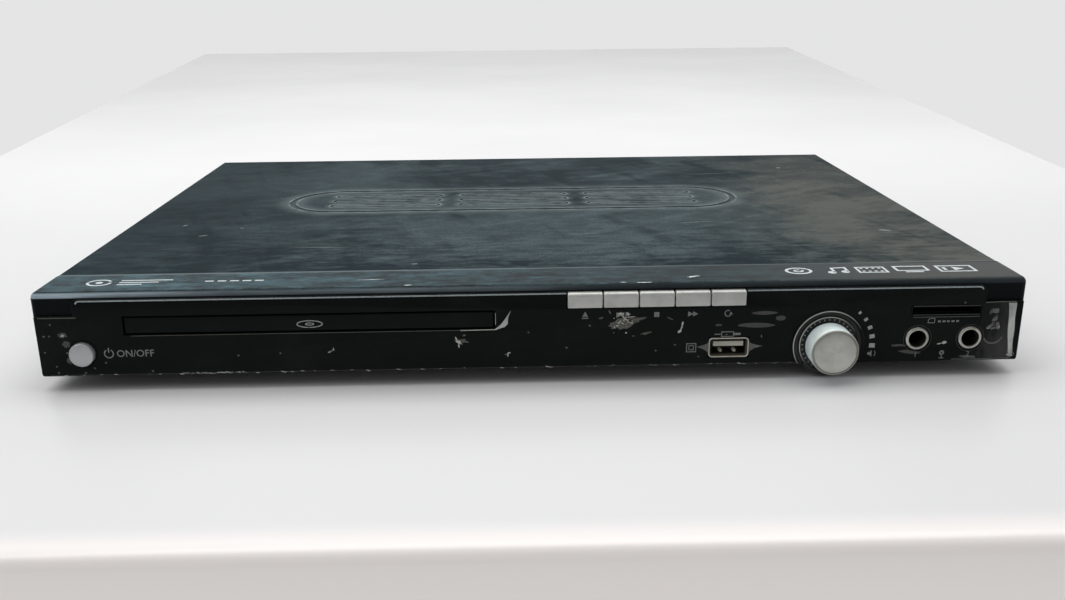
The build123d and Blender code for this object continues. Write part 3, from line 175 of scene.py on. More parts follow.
class Term:
    """A shader socket that takes part in arithmetic; an expression on terms adds its Math nodes."""

    __add__, __radd__ = operator("ADD"), operator("ADD", True)
    __sub__, __rsub__ = operator("SUBTRACT"), operator("SUBTRACT", True)
    __mul__, __rmul__ = operator("MULTIPLY"), operator("MULTIPLY", True)
    __truediv__, __pow__, most = operator("DIVIDE"), operator("POWER"), operator("MAXIMUM")

    def __init__(self, recipe: "Recipe", socket: Socket) -> None:
        """Wraps a socket of the recipe's node tree."""
        self.recipe, self.socket = recipe, socket

    def math(self, operation: str, *values: Number) -> "Term":
        """One Math node on the given values."""
        return self.recipe.node("Math", {"operation": operation}, dict(enumerate(values)))

    def __abs__(self) -> "Term":
        """Size without the sign."""
        return self.math("ABSOLUTE", self)

    def wrap(self, high: float, low: float) -> "Term":
        """The value folded into a repeating span."""
        return self.math("WRAP", self, high, low)


class Recipe:
    """One material, built node by node from values in millimetres."""

    def __init__(self, name: str) -> None:
        """Starts an empty material with the given name."""
        self.material = bpy.data.materials.new(name)
        self.material.use_nodes = True
        self.tree = self.material.node_tree
        self.tree.nodes.clear()
        coords = self.node("TexCoord", {}, {}, "Object")
        self.place = self.node("VectorMath", {"operation": "MULTIPLY_ADD"},
                               {0: coords, 1: (1 / MM,) * 3, 2: (0.0, -FACE / MM, 0.0)})

    def node(self, kind: str, settings: dict, sockets: dict, out: Union[int, str] = 0) -> Term:
        """Any shader node, its settings made first; out picks the output that is handed on."""
        plain = {key: value.socket if isinstance(value, Term) else value for key, value in sockets.items()}
        return Term(self, add_node(self.tree, "ShaderNode" + kind, settings, plain).outputs[out])

    def axes(self) -> list[Term]:
        """X, depth and height of the shaded point."""
        split = self.node("SeparateXYZ", {}, {0: self.place})
        return [Term(self, output) for output in split.socket.node.outputs]

    def noise(self, size: float, detail: float = 3.0, rough: float = 0.55,
              stretch: Sequence[float] = (1, 1, 1), turn: Sequence[float] = (0, 0, 0),
              shift: float = 0.0) -> Term:
        """Cloudy noise.

        Args:
            size: size of its largest forms.
            detail: octaves of finer forms.
            rough: how strong the finer forms are.
            stretch: how much longer the forms are along each axis.
            turn: rotation of the stretched axes, in radians.
            shift: offset, so that two noises differ.

        Returns:
            A value about 0.5.
        """
        where = self.node("Mapping", {"vector_type": "TEXTURE"}, {
            "Vector": self.place, "Location": (shift, shift * 1.7, shift * 0.6), "Rotation": tuple(turn),
            "Scale": tuple(size * s for s in stretch)})
        return self.node("TexNoise", {}, {"Vector": where, "Scale": 1.0, "Detail": detail,
                                                    "Roughness": rough})

    def band(self, value: Number, low: float, high: float) -> Term:
        """A smooth step from 0 at low to 1 at high; low may be the larger."""
        return self.node("MapRange", {"interpolation_type": "SMOOTHSTEP"},
                         {0: value, 1: low, 2: high, 3: 0.0, 4: 1.0})

    def specks(self, pitch: float, radius: float, share: float, shift: float = 0.0) -> Term:
        """Round specks scattered over the surface.

        Args:
            pitch: mean distance between places for a speck.
            radius: radius of a speck.
            share: share of the places that have one.
            shift: offset, so that two scatterings differ.

        Returns:
            A mask, 1 on a speck.
        """
        where = self.node("Mapping", {"vector_type": "TEXTURE"}, {
            "Vector": self.place, "Location": (shift,) * 3, "Scale": (pitch,) * 3})
        cell = self.node("TexVoronoi", {}, {"Vector": where, "Scale": 1.0}, "Distance")
        pick = self.node("SeparateColor", {}, {0: cell.socket.node.outputs["Color"]})
        chosen = self.band(pick, share, share - 0.02)
        edge = 0.12 * radius / pitch
        return self.band(cell - pick * (radius / pitch / share), edge, -edge) * chosen

    def mix(self, mask: Number, first: Number, second: Number) -> Term:
        """Blends two colours; the mask picks the second."""
        wide = [(*c, 1.0) if isinstance(c, tuple) and len(c) == 3 else c for c in (first, second)]
        return self.node("Mix", {"data_type": "RGBA", "clamp_factor": True},
                         {0: mask, 6: wide[0], 7: wide[1]}, 2)

    def shade(self, colour: Number, factor: Number) -> Term:
        """A colour made lighter or darker by a factor."""
        return self.node("VectorMath", {"operation": "SCALE"}, {0: colour, "Scale": factor})

    def relief(self, height: Number, depth: float, below: Optional[Term] = None,
               strength: float = 1.0) -> Term:
        """A bump.

        Args:
            height: the height, from 0 to 1.
            depth: millimetres that 1 stands for.
            below: an earlier bump that this one adds to.
            strength: how much of it shows.

        Returns:
            The normal.
        """
        sockets = {"Strength": strength, "Distance": depth * MM, "Height": height}
        if below is not None:
            sockets["Normal"] = below
        return self.node("Bump", {}, sockets)

    def finish(self, colour: Number, roughness: Number, normal: Optional[Term] = None,
               **sockets: Number) -> Material:
        """Ends the material with a Principled shader.

        Args:
            colour: its base colour.
            roughness: its roughness.
            normal: its bump.
            sockets: further inputs, with _ for a space in the name.

        Returns:
            The material.
        """
        named = {key.replace("_", " "): value for key, value in sockets.items()}
        named |= {"Base Color": colour, "Roughness": roughness} | ({"Normal": normal} if normal else {})
        surface = self.node("BsdfPrincipled", {}, named)
        add_node(self.tree, "ShaderNodeOutputMaterial", {}, {"Surface": surface.socket})
        return self.material


@dataclass(frozen=True)
class Mark:
    """One worn or soiled place, by its middle on the front plane, or on the top plane where z is depth."""

    x: float
    z: float
    length: float
    width: float
    turn: float = 0.0
    ragged: float = 0.2
    point: float = 0.0


Marks = tuple[Mark, ...]


def marks(*rows: Sequence[float]) -> Marks:
    """Marks from rows of numbers, in the order of a mark's fields."""
    return tuple(Mark(*row) for row in rows)


# Finishes

@dataclass(frozen=True)
class Moulding:
    """Moulded plastic or rubber with fine grain, uneven soiling and a few specks of dust."""

    name: str
    colour: Colour
    roughness: float = 0.5
    grain: float = 0.4
    depth: float = 0.012
    soiling: float = 0.25
    specular: float = 0.4
    dust: float = 0.3

    def build(self) -> Material:
        """Makes the material."""
        recipe = Recipe(self.name)
        cloud = recipe.noise(14, 4, 0.6)
        fine = recipe.noise(self.grain, 2, 0.5, shift=3)
        dusty = tuple(min(0.8, c * 0.75 + 0.09 * self.dust) for c in self.colour)
        dark = tuple(c * (1 - self.soiling) for c in self.colour)
        tone = recipe.mix(recipe.band(cloud, 0.35, 0.68), self.colour, dark)
        tone = recipe.mix(recipe.specks(7, 0.18, 0.35) * self.dust, tone, (0.45, 0.45, 0.43))
        film = recipe.band(recipe.noise(5, 5, 0.65, shift=9), 0.55, 0.8) * self.dust
        tone = recipe.mix(film, tone, dusty)
        rough = (cloud - 0.5) * 0.22 + self.roughness + (fine - 0.5) * 0.06
        return recipe.finish(tone, rough, recipe.relief(fine, self.depth),
                             Specular_IOR_Level=self.specular)


@dataclass(frozen=True)
class Metal:
    """Metal with brushing or rolling marks, stains and small scratches, and painted shade past a given depth.
    """

    name: str
    colour: Colour
    roughness: float = 0.3
    brush: tuple[float, float, float] = (1, 1, 12)
    grain: float = 0.12
    depth: float = 0.003
    stain: float = 0.3
    metallic: float = 1.0
    # painted shade: past these depths the colour turns to the second one, as inside the port and in a dark
    # line round the knob's face
    beyond: Optional[tuple[float, float]] = None
    second: Colour = (0.03, 0.029, 0.025)

    def build(self) -> Material:
        """Makes the material."""
        recipe = Recipe(self.name)
        cloud = recipe.noise(6, 4, 0.6, shift=2)
        hair = recipe.noise(self.grain, 2, 0.6, stretch=self.brush)
        dark = tuple(c * (1 - self.stain) * t for c, t in zip(self.colour, (1, 0.96, 0.88)))
        tone = recipe.mix(recipe.band(cloud, 0.45, 0.75), self.colour, dark)
        if self.beyond:
            tone = recipe.mix(recipe.band(recipe.axes()[1], *self.beyond), tone, self.second)
        rough = recipe.band(cloud, 0.3, 0.8) * 0.16 + self.roughness + (hair - 0.5) * 0.1
        return recipe.finish(tone, rough, recipe.relief(hair, self.depth), Metallic=self.metallic)


@dataclass(frozen=True)
class CoverPaint:
    """Dark blue-grey satin paint under a wiped haze of dust; the relief's outlines are picked out by dust and
    painted highlight, and its hollows are darkened by painted shade.
    """

    name: str = "cover_paint"
    paint: Colour = (0.0095, 0.0185, 0.0225)
    haze: Colour = (0.080, 0.106, 0.114)
    warm_haze: Colour = (0.104, 0.111, 0.102)
    edge_dust: Colour = (0.215, 0.255, 0.262)
    ring_middle: Point2 = (-6, 153)
    ring_half: Point2 = (109.8, 23.8)
    rib_pitch: Point2 = (63, 11)
    rib_half: Point2 = (26.3, 2.3)
    specular: float = 0.012

    def capsule(self, recipe: Recipe, px: Term, py: Term, half: Point2) -> Term:
        """Distance to a rounded slot's outline, negative inside, from its middle and half its sides."""
        dx = (abs(px) - (half[0] - half[1])).most(0)
        return (dx * dx + py * py) ** 0.5 - half[1]

    def build(self) -> Material:
        """Makes the material."""
        recipe = Recipe(self.name)
        noise, band, mix = recipe.noise, recipe.band, recipe.mix
        x, depth, height = recipe.axes()
        fine = noise(0.55, 2, 0.5, shift=1)
        cloud = noise(75, 5, 0.62, stretch=(1.6, 1, 1))
        mottle = noise(9, 6, 0.7, stretch=(1.3, 1, 1), shift=4)
        wipes = noise(11, 4, 0.6, stretch=(5, 1, 1), turn=(0, 0, 0.55), shift=7)
        swipes = noise(16, 3, 0.5, stretch=(0.8, 5, 1), turn=(0, 0, 0.35), shift=11)
        amount = band(cloud, 0.40, 0.62) * 0.66 + band(mottle, 0.45, 0.70) * 0.34
        amount = amount + band(wipes, 0.5, 0.72) * 0.40 - band(swipes, 0.52, 0.74) * 0.42
        streaks = noise(3.4, 7, 0.78, stretch=(4.5, 1, 1), shift=41)
        grain = noise(0.9, 4, 0.75, stretch=(1.2, 2.4, 1), shift=23)
        amount = amount + (band(streaks, 0.40, 0.64) * 0.62 - 0.27) * band(depth, 150, 40)
        amount = amount * (band(grain, 0.32, 0.66) * 0.55 + 0.72)
        dusty_end = band(x, 80, 165) * band(depth, 250, 90) * 0.52
        dark_corner = band(x, 60, 150) * band(depth, 150, 240) * 0.25
        amount = amount * 0.92 * (band(x, -178, -50) * 0.66 + 0.34) + dusty_end
        amount = (amount - dark_corner).most(0)
        upward = band(height, 36.2, 37)
        ring = self.capsule(recipe, x - self.ring_middle[0], depth - self.ring_middle[1], self.ring_half)
        half_x, half_y = self.rib_pitch[0] / 2, self.rib_pitch[1] / 2
        rib = self.capsule(recipe, (x - self.ring_middle[0]).wrap(half_x, -half_x),
                           (depth - self.ring_middle[1]).wrap(half_y, -half_y), self.rib_half)
        inside = (band(abs(x - self.ring_middle[0]), 93.6, 93.2)
                  * band(abs(depth - self.ring_middle[1]), 16.4, 16))
        broken = band(noise(7, 4, 0.6, shift=21), 0.3, 0.62) * 0.75 + 0.25
        # dust and painted highlight along the relief's outlines, a soft painted highlight round them, and
        # painted shade in the relief's hollows
        rims = (band(abs(abs(ring) - 1.9), 1.2, 0.2) * 0.85).most(
            band(abs(abs(rib) - 1.15), 0.8, 0.15) * inside) * broken
        halo_highlight = (band(abs(ring), 10, 1) * 0.3).most(band(abs(rib), 5, 0.5) * inside * 0.28)
        sunk_shade = band(abs(ring), 1.5, 0.9).most(band(abs(rib), 0.95, 0.5) * inside)
        dusty = mix(band(x, 70, 140), self.haze, self.warm_haze)
        base = mix(band(mottle, 0.35, 0.7), self.paint, tuple(c * 1.5 for c in self.paint))
        base = mix(amount * upward, base, dusty)
        base = mix(sunk_shade * 0.88 * upward, base, tuple(c * 0.35 for c in self.paint))
        base = mix(rims.most(halo_highlight) * upward, base, self.edge_dust)
        scratch = noise(1.5, 4, 0.7, stretch=(14, 1, 1), turn=(0, 0, 0.12), shift=61)
        nicks = band(scratch, 0.66, 0.72) * band(depth, 130, 40) * band(x, 150, 60)
        base = mix(nicks * upward * 0.35, base, self.edge_dust)
        flecks = recipe.specks(13, 0.5, 0.22, 5).most(recipe.specks(5.5, 0.2, 0.2, 15)) * upward
        base = mix(flecks * 0.5, base, (0.26, 0.29, 0.29))
        # lighter along the cover's front bend: dust and painted highlight
        base = mix(band(depth, 26.2, 25.4) * upward * 0.5, base, self.edge_dust)
        rough = amount * 0.22 * upward + 0.46 + (mottle - 0.5) * 0.16 + rims * 0.12
        normal = recipe.relief(noise(28, 2, 0.5, shift=31), 0.22, strength=0.6)
        normal = recipe.relief(fine, 0.016, normal)
        return recipe.finish(base, rough, normal, Specular_IOR_Level=self.specular)


@dataclass(frozen=True)
class FrontMoulding:
    """The front moulding's black plastic: dusty on its top, with a painted bluish highlight along its rounded
    edge.
    """

    name: str = "front_moulding"
    black: Colour = (0.0062, 0.0082, 0.0092)
    top_dust: Colour = (0.084, 0.148, 0.170)
    warm_dust: Colour = (0.078, 0.082, 0.075)
    edge_shine: Colour = (0.150, 0.185, 0.205)
    specular: float = 0.04

    def build(self) -> Material:
        """Makes the material."""
        recipe = Recipe(self.name)
        noise, band, mix = recipe.noise, recipe.band, recipe.mix
        x, depth, height = recipe.axes()
        fine = noise(0.35, 2, 0.5)
        mottle = noise(6, 8, 0.78, stretch=(2, 1, 1), shift=3)
        streaks = noise(4, 5, 0.7, stretch=(9, 1, 1), shift=6)
        top = band(height, 37, 37.5)
        left = band(x, 150, -176) * 0.75 + 0.3
        scratches = noise(1, 4, 0.75, stretch=(7, 1, 1), turn=(0, 0, 0.2), shift=13)
        haze = (band(mottle, 0.38, 0.62) * 0.58 + band(streaks, 0.48, 0.68) * 0.44
                + band(scratches, 0.56, 0.66) * 0.7 + 0.06) * top * left
        near = band(depth, 4.2, 3)
        # painted highlight band on the rounded front edge, strongest at the left end and weakest at the right
        edge = band(height, 35.35, 35.9) * band(height, 37.45, 36.9) * near
        along = band(x, -110, -176) * 1.9 - band(x, -20, 30) * 0.62 - band(x, 80, 140) * 0.34
        bright = recipe.shade(self.edge_shine, (along + 0.8).most(0.2))
        tone = mix(haze, self.black, self.top_dust)
        warm = band(x, 60, 160) * top * (band(mottle, 0.3, 0.7) * 0.3 + 0.55)
        tone = mix(warm, tone, self.warm_dust)
        tone = mix(edge * (band(streaks, 0.3, 0.7) * 0.4 + 0.6), tone, bright)
        # painted shade: a dark line where the rounded edge turns into the top
        edge_dark_line = band(abs(height - 37.5), 0.09, 0.03) * near * band(x, 20, -30)
        tone = mix(edge_dark_line * 0.75, tone, self.black)
        rear_line = band(depth, 23, 23.5) * top * band(x, 120, -60)
        tone = mix(rear_line * 0.8, tone, (0.16, 0.19, 0.2))
        # painted shade in the seam to the cover at the right end
        seam_shade = band(depth, 22.6, 23.4) * top * band(x, 132, 152)
        tone = mix(seam_shade * 0.92, tone, self.black)
        flecks = recipe.specks(6, 0.28, 0.25, 2) * (top * 0.7 + 0.12)
        tone = mix(flecks, tone, (0.30, 0.33, 0.34))
        rough = haze * 0.2 + 0.34 + (mottle - 0.5) * 0.16
        return recipe.finish(tone, rough, recipe.relief(fine, 0.006), Specular_IOR_Level=self.specular)


@dataclass(frozen=True)
class FasciaGloss:
    """Near black glossy panel with smudges, fingerprints, fine specks of dust and a painted sheen towards its
    upper right.
    """

    name: str = "fascia_gloss"
    black: Colour = (0.0062, 0.0076, 0.0074)
    smudge: Colour = (0.0125, 0.0150, 0.0150)
    specular: float = 0.055

    def build(self) -> Material:
        """Makes the material."""
        recipe = Recipe(self.name)
        noise, band, mix = recipe.noise, recipe.band, recipe.mix
        x, _, height = recipe.axes()
        smudge = noise(18, 4, 0.6, stretch=(1.8, 1, 1))
        prints = noise(4.5, 3, 0.6, stretch=(1, 1, 1.6), turn=(0, 0.5, 0), shift=8)
        flecks = recipe.specks(7.5, 0.2, 0.16, 12) * 0.45
        tone = mix(band(smudge, 0.42, 0.78) * 0.7, self.black, self.smudge)
        # painted sheen: lighter towards the top and the right, in the smudge colour
        upper = band(height, 27, 36) * band(x, -60, 160)
        tone = mix(upper * 0.35, tone, self.smudge)
        tone = mix(flecks, tone, (0.16, 0.17, 0.165))
        rough = band(smudge, 0.4, 0.75) * 0.12 + band(prints, 0.5, 0.75) * 0.08 + 0.16
        normal = recipe.relief(noise(9, 3, 0.5, shift=17), 0.03, strength=0.5)
        return recipe.finish(tone, rough, normal, Specular_IOR_Level=self.specular)


@dataclass(frozen=True)
class WornPlating:
    """Bright plating about the knob's axis, with a painted highlight towards the upper left that falls to
    painted shade towards the lower right.
    """

    name: str
    axis: Point2
    bright: Colour = (0.50, 0.50, 0.46)
    # the colour of the painted shade towards the lower right
    worn: Colour = (0.011, 0.011, 0.011)

    def build(self) -> Material:
        """Makes the material."""
        recipe = Recipe(self.name)
        x, _, height = recipe.axes()
        # painted highlight towards the upper left, painted shade towards the lower right
        lean = (height - self.axis[1]) * 0.75 - (x - self.axis[0]) * 0.6
        patchy = recipe.noise(3, 4, 0.65)
        left = recipe.band(lean + (patchy - 0.5) * 7, -4, 8)
        tone = recipe.mix(left, self.worn, self.bright)
        return recipe.finish(tone, 0.34 + (patchy - 0.5) * 0.2, recipe.relief(patchy, 0.004),
                             Metallic=left * 0.5, Specular_IOR_Level=0.06)


@dataclass(frozen=True)
class SilverPaint:
    """Silver painted plastic with a fine metal fleck, a soft sheen and small dark specks."""

    name: str
    silver: Colour = (0.56, 0.565, 0.535)
    roughness: float = 0.42
    metallic: float = 0.45

    def build(self) -> Material:
        """Makes the material."""
        recipe = Recipe(self.name)
        fleck = recipe.noise(0.16, 1, 0.5)
        cloud = recipe.noise(7, 4, 0.6, shift=5)
        tone = recipe.mix(recipe.band(cloud, 0.4, 0.75), self.silver, tuple(c * 0.82 for c in self.silver))
        tone = recipe.mix(recipe.band(fleck, 0.55, 0.8) * 0.35, tone, (0.6, 0.6, 0.58))
        tone = recipe.mix(recipe.specks(3, 0.14, 0.18, 4) * 0.6, tone, (0.12, 0.12, 0.11))
        rough = self.roughness + (cloud - 0.5) * 0.2
        return recipe.finish(tone, rough, recipe.relief(fleck, 0.003), Metallic=self.metallic)


@dataclass(frozen=True)
class SpunFace:
    """Aluminium turned on a lathe: fine rings about the knob's axis, a little tarnished, with a painted
    fan-shaped highlight.
    """

    name: str
    axis: Point2
    metal: Colour = (0.45, 0.455, 0.42)
    pitch: float = 0.16

    def build(self) -> Material:
        """Makes the material."""
        recipe = Recipe(self.name)
        x, _, height = recipe.axes()
        px, pz = x - self.axis[0], height - self.axis[1]
        radius = (px * px + pz * pz) ** 0.5
        around = (radius / self.pitch, 0, 0)
        fan = (px / radius * 0.7, pz / radius * 0.7, radius * 0.05)
        rings, fan_highlight = (recipe.node("TexNoise", {}, {
            "Vector": recipe.node("CombineXYZ", {}, dict(enumerate(where))), "Scale": 1,
            "Detail": 2, "Roughness": rough}) for where, rough in ((around, 0.7), (fan, 0.5)))
        stain = recipe.noise(2.6, 4, 0.65, shift=2)
        tone = recipe.mix(recipe.band(stain, 0.45, 0.8) * 0.5, self.metal, (0.33, 0.33, 0.30))
        # painted highlight: lighter fan-shaped sectors about the axis
        tone = recipe.mix(recipe.band(fan_highlight, 0.42, 0.64) * 0.5, tone, (0.58, 0.58, 0.545))
        rough = 0.33 + (rings - 0.5) * 0.14 + (stain - 0.5) * 0.12
        return recipe.finish(tone, rough, recipe.relief(rings, 0.010), Metallic=0.9)


@dataclass(frozen=True)
class Laminate:
    """Circuit board: coloured mask over traces, with tinned pads and a clear coat."""

    name: str
    mask: Colour
    trace: Colour

    def build(self) -> Material:
        """Makes the material."""
        recipe = Recipe(self.name)
        along = recipe.noise(2.4, 0, 0, stretch=(9, 1, 9))
        across = recipe.noise(2.4, 0, 0, stretch=(1, 9, 9), shift=6)
        lines = recipe.band(abs(along - 0.5), 0.035, 0.025).most(
            recipe.band(abs(across - 0.5), 0.03, 0.02))
        pads = recipe.specks(3.4, 0.75, 0.45, 3)
        soil = recipe.noise(20, 4, 0.6, shift=8)
        tone = recipe.mix(lines * 0.8, self.mask, self.trace)
        tone = recipe.mix(recipe.band(soil, 0.4, 0.75) * 0.35, tone, tuple(c * 0.6 for c in self.mask))
        tone = recipe.mix(pads, tone, (0.62, 0.6, 0.55))
        return recipe.finish(tone, 0.36 + (soil - 0.5) * 0.2 - pads * 0.06,
                             recipe.relief(lines + pads, 0.03), Metallic=pads * 0.9,
                             Specular_IOR_Level=0.45)


@dataclass(frozen=True)
class ClearTint:
    """Tinted clear plastic or glass that reads as a dark or coloured window."""

    name: str
    colour: Colour
    roughness: float = 0.08
    coat: float = 0.6

    def build(self) -> Material:
        """Makes the material."""
        recipe = Recipe(self.name)
        cloud = recipe.noise(3, 3, 0.5)
        tone = recipe.mix(recipe.band(cloud, 0.35, 0.7), self.colour, tuple(c * 0.6 for c in self.colour))
        return recipe.finish(tone, (cloud - 0.5) * 0.08 + self.roughness,
                             recipe.relief(recipe.noise(0.5), 0.001), Coat_Weight=self.coat,
                             Specular_IOR_Level=0.5)


@dataclass(frozen=True)
class PrintedInk:
    """Screen printed ink, worn thin in places."""

    name: str
    ink: Colour = (0.40, 0.42, 0.42)
    worn: float = 0.45

    def build(self) -> Material:
        """Makes the material."""
        recipe = Recipe(self.name)
        rub = recipe.noise(0.9, 5, 0.7, shift=2)
        broad = recipe.noise(9, 3, 0.6, shift=6)
        thin = recipe.band(rub, 0.46, 0.7) * self.worn + recipe.band(broad, 0.55, 0.8) * self.worn * 0.5
        tone = recipe.mix(thin, self.ink, tuple(c * 0.25 for c in self.ink))
        return recipe.finish(tone, (rub - 0.5) * 0.2 + 0.55, recipe.relief(rub, 0.004),
                             Specular_IOR_Level=0.3)


@dataclass(frozen=True)
class FilmHaze:
    """Clear film on the glossy panel: unseen at its left, lifting into a patchy grey at its right edge."""

    name: str = "film_haze"
    clear: Colour = (0.0066, 0.0078, 0.0076)
    milky: Colour = (0.050, 0.052, 0.049)

    def build(self) -> Material:
        """Makes the material."""
        recipe = Recipe(self.name)
        x, _, height = recipe.axes()
        patchy = recipe.noise(4.2, 5, 0.65, stretch=(0.7, 1, 1.6), shift=3)
        lean = x + recipe.band(height, 22, 8) * 4 + (patchy - 0.5) * 16
        milk = recipe.band(lean, 167, 179) * (recipe.band(height, 22, 13) * 0.5 + 0.5)
        tone = recipe.mix(milk, self.clear, self.milky)
        return recipe.finish(tone, milk * 0.3 + 0.2, recipe.relief(patchy, 0.02, strength=0.5),
                             Specular_IOR_Level=0.1)


@dataclass(frozen=True)
class TablePlate:
    """Glossy white table top with a faint unevenness in its polish, whiter towards the back and at its warm
    near edge as painted light.
    """

    name: str = "table_white"
    white: Colour = (0.78, 0.78, 0.785)
    far_white: Colour = (0.97, 0.97, 0.97)
    edge_white: Colour = (1, 0.945, 0.912)

    def build(self) -> Material:
        """Makes the material."""
        recipe = Recipe(self.name)
        cloud = recipe.noise(300, 3, 0.5)
        _, depth, _ = recipe.axes()
        # painted light: whiter towards the back, where the lamps fall off
        tone = recipe.mix(recipe.band(depth, -40, 650), self.white, self.far_white)
        tone = recipe.mix(recipe.band(cloud, 0.3, 0.7) * 0.35, tone, tuple(c * 0.985 for c in self.white))
        # a warm near edge, raised to full brightness as painted light
        tone = recipe.mix(recipe.band(depth, -98, -116), tone, self.edge_white)
        rough = (recipe.noise(40, 3, 0.5, shift=50) - 0.5) * 0.014 + 0.262
        return recipe.finish(tone, rough, Specular_IOR_Level=0.5)


class FinishShelf:
    """All finishes of the player, made once and handed out by their key, a slot of the record first."""

    def __init__(self, knob_axis: Point2) -> None:
        """Builds each finish.

        Args:
            knob_axis: x and height of the knob's axis, for the turned face.
        """
        even, brushed_x, brushed_y = (1, 1, 1), (14, 1, 1), (1, 14, 1)
        knob_front = Room.of("volume_knob").low.y
        made = {
            "case_steel": CoverPaint(),
            "bezel_plastic": FrontMoulding(),
            "fascia_plastic": FasciaGloss(),
            "key_plastic": SilverPaint("key_silver"),
            "button_plastic": SilverPaint("button_silver", (0.49, 0.495, 0.505), 0.4, 0.5),
            "spun_face": SpunFace("knob_face", knob_axis),
            "worn_rims": WornPlating("worn_rims", knob_axis),
            "board_green": Laminate("board_green", (0.010, 0.085, 0.035), (0.03, 0.16, 0.07)),
            "board_tan": Laminate("board_tan", (0.32, 0.20, 0.09), (0.42, 0.28, 0.14)),
            "lamp": ClearTint("lamp_red", (0.40, 0.012, 0.010)),
            "dark_window": ClearTint("dark_window", (0.016, 0.008, 0.012)),
            "film_haze": FilmHaze(),
        }
        mouldings = {
            "foot_rubber": ((0.018, 0.018, 0.018), 0.82, 0.5, 0.03, 0.3, 0.25, 0.6),
            "tongue_plastic": ((0.52, 0.51, 0.43), 0.4, 0.3, 0.004, 0.12, 0.4, 0.2),
            "black_plastic": ((0.012, 0.012, 0.013), 0.42, 0.3, 0.006, 0.2, 0.4, 0.35),
            "mechanism_plastic": ((0.020, 0.021, 0.022), 0.48, 0.35, 0.008, 0.2, 0.4, 0.45),
            "gear_plastic": ((0.62, 0.61, 0.56), 0.4, 0.3, 0.004, 0.1, 0.45, 0.2),
            "belt_rubber": ((0.014, 0.014, 0.014), 0.7, 0.4, 0.01, 0.2, 0.3, 0.2),
            "ferrite": ((0.035, 0.034, 0.034), 0.6, 0.5, 0.02, 0.3, 0.35, 0.3),
            "cap_sleeve": ((0.012, 0.018, 0.060), 0.3, 0.6, 0.003, 0.2, 0.5, 0.2),
            "chip_black": ((0.016, 0.016, 0.017), 0.5, 0.2, 0.006, 0.15, 0.35, 0.2),
            "cable_white": ((0.66, 0.66, 0.64), 0.4, 0.5, 0.003, 0.1, 0.4, 0.2),
            "film_white": ((0.60, 0.60, 0.58), 0.5, 0.6, 0.02, 0.25, 0.4, 0.2),
            "film_grey": ((0.60, 0.61, 0.59), 0.35, 0.8, 0.02, 0.5, 0.5, 0.6),
            "chip_pale": ((0.50, 0.50, 0.47), 0.6, 0.5, 0.02, 0.3, 0.3, 0.2),
        }
        cores = {"white": (0.66, 0.66, 0.63), "red": (0.42, 0.02, 0.015), "yellow": (0.62, 0.42, 0.02),
                 "orange": (0.55, 0.16, 0.015)}
        for colour, tone in cores.items():
            mouldings["core_" + colour] = (tone, 0.38, 0.3, 0.003, 0.12, 0.45, 0.15)
        metals = {
            "screw_steel": ((0.46, 0.46, 0.45), 0.34, even, 0.2, 0.004, 0.4),
            # the knob's shell: painted shade as a dark line round its face
            "knob_metal": ((0.86, 0.97, 0.98), 0.5, brushed_y, 0.1, 0.003, 0.12, 0.25,
                           (knob_front + 0.6, knob_front + 0.4), (0.30, 0.30, 0.26)),
            "ring_chrome": ((0.50, 0.50, 0.46), 0.27, even, 0.2, 0.002, 0.35),
            "socket_steel": ((0.56, 0.54, 0.45), 0.26, brushed_y, 0.12, 0.003, 0.35),
            "motor_steel": ((0.60, 0.60, 0.59), 0.28, brushed_x, 0.12, 0.003, 0.25),
            "magnet": ((0.16, 0.16, 0.165), 0.45, even, 0.3, 0.006, 0.3, 0.7),
            "rod_steel": ((0.72, 0.72, 0.71), 0.12, brushed_y, 0.1, 0.001, 0.12),
            # the port: painted shade on its inside walls
            "port_steel": ((0.50, 0.485, 0.41), 0.3, brushed_y, 0.12, 0.003, 0.4, 0.9,
                           (-0.13, 0), (0.060, 0.056, 0.044)),
            "spring_steel": ((0.86, 0.84, 0.74), 0.4, brushed_y, 0.12, 0.003, 0.2, 0.25),
        }
        inks = {
            "printed_ink": ((0.40, 0.42, 0.42), 0.45), "faded_ink": ((0.22, 0.225, 0.22), 0.55),
            "strip_ink": ((0.62, 0.67, 0.68), 0.25), "glue_residue": ((0.072, 0.073, 0.070), 0.35),
            "scuff": ((0.115, 0.112, 0.095), 0.6), "bare_chip": ((0.52, 0.52, 0.48), 0.3),
            "film_crease": ((0.135, 0.14, 0.13), 0.5), "polished_edge": ((0.36, 0.41, 0.42), 0.5),
            "switch_ink": ((0.26, 0.27, 0.26), 0.4), "worn_paint": ((0.25, 0.275, 0.27), 0.5),
            "ear_line": ((0.095, 0.095, 0.075), 0.5), "tick_ink": ((0.34, 0.34, 0.32), 0.7),
        }
        for kind, looks in ((Moulding, mouldings), (Metal, metals), (PrintedInk, inks)):
            made |= {key: kind(key, *look) for key, look in looks.items()}
        self.finishes = {key: finish.build() for key, finish in made.items()}

    def __getitem__(self, key: str) -> Material:
        """The finish of a slot of the record, or one of the player's further finishes."""
        return self.finishes[key]


# Meshes

def put(name: str, data: Optional[bpy.types.ID]) -> bpy.types.Object:
    """A new object in the scene."""
    holder = bpy.data.objects.new(name, data)
    bpy.context.scene.collection.objects.link(holder)
    return holder


def rounded_box(x0: float, x1: float, z0: float, z1: float, radius: float, steps: int = 5) -> list[Point2]:
    """The outline of a rounded rectangle."""
    middles = ((x0 + radius, z0 + radius), (x1 - radius, z0 + radius), (x1 - radius, z1 - radius),
               (x0 + radius, z1 - radius))
    turns = [[pi * (1.0 + (corner + step / steps) / 2) for step in range(steps + 1)]
             for corner in range(4)]
    return [(x + radius * cos(turn), z + radius * sin(turn))
            for (x, z), corner in zip(middles, turns) for turn in corner]


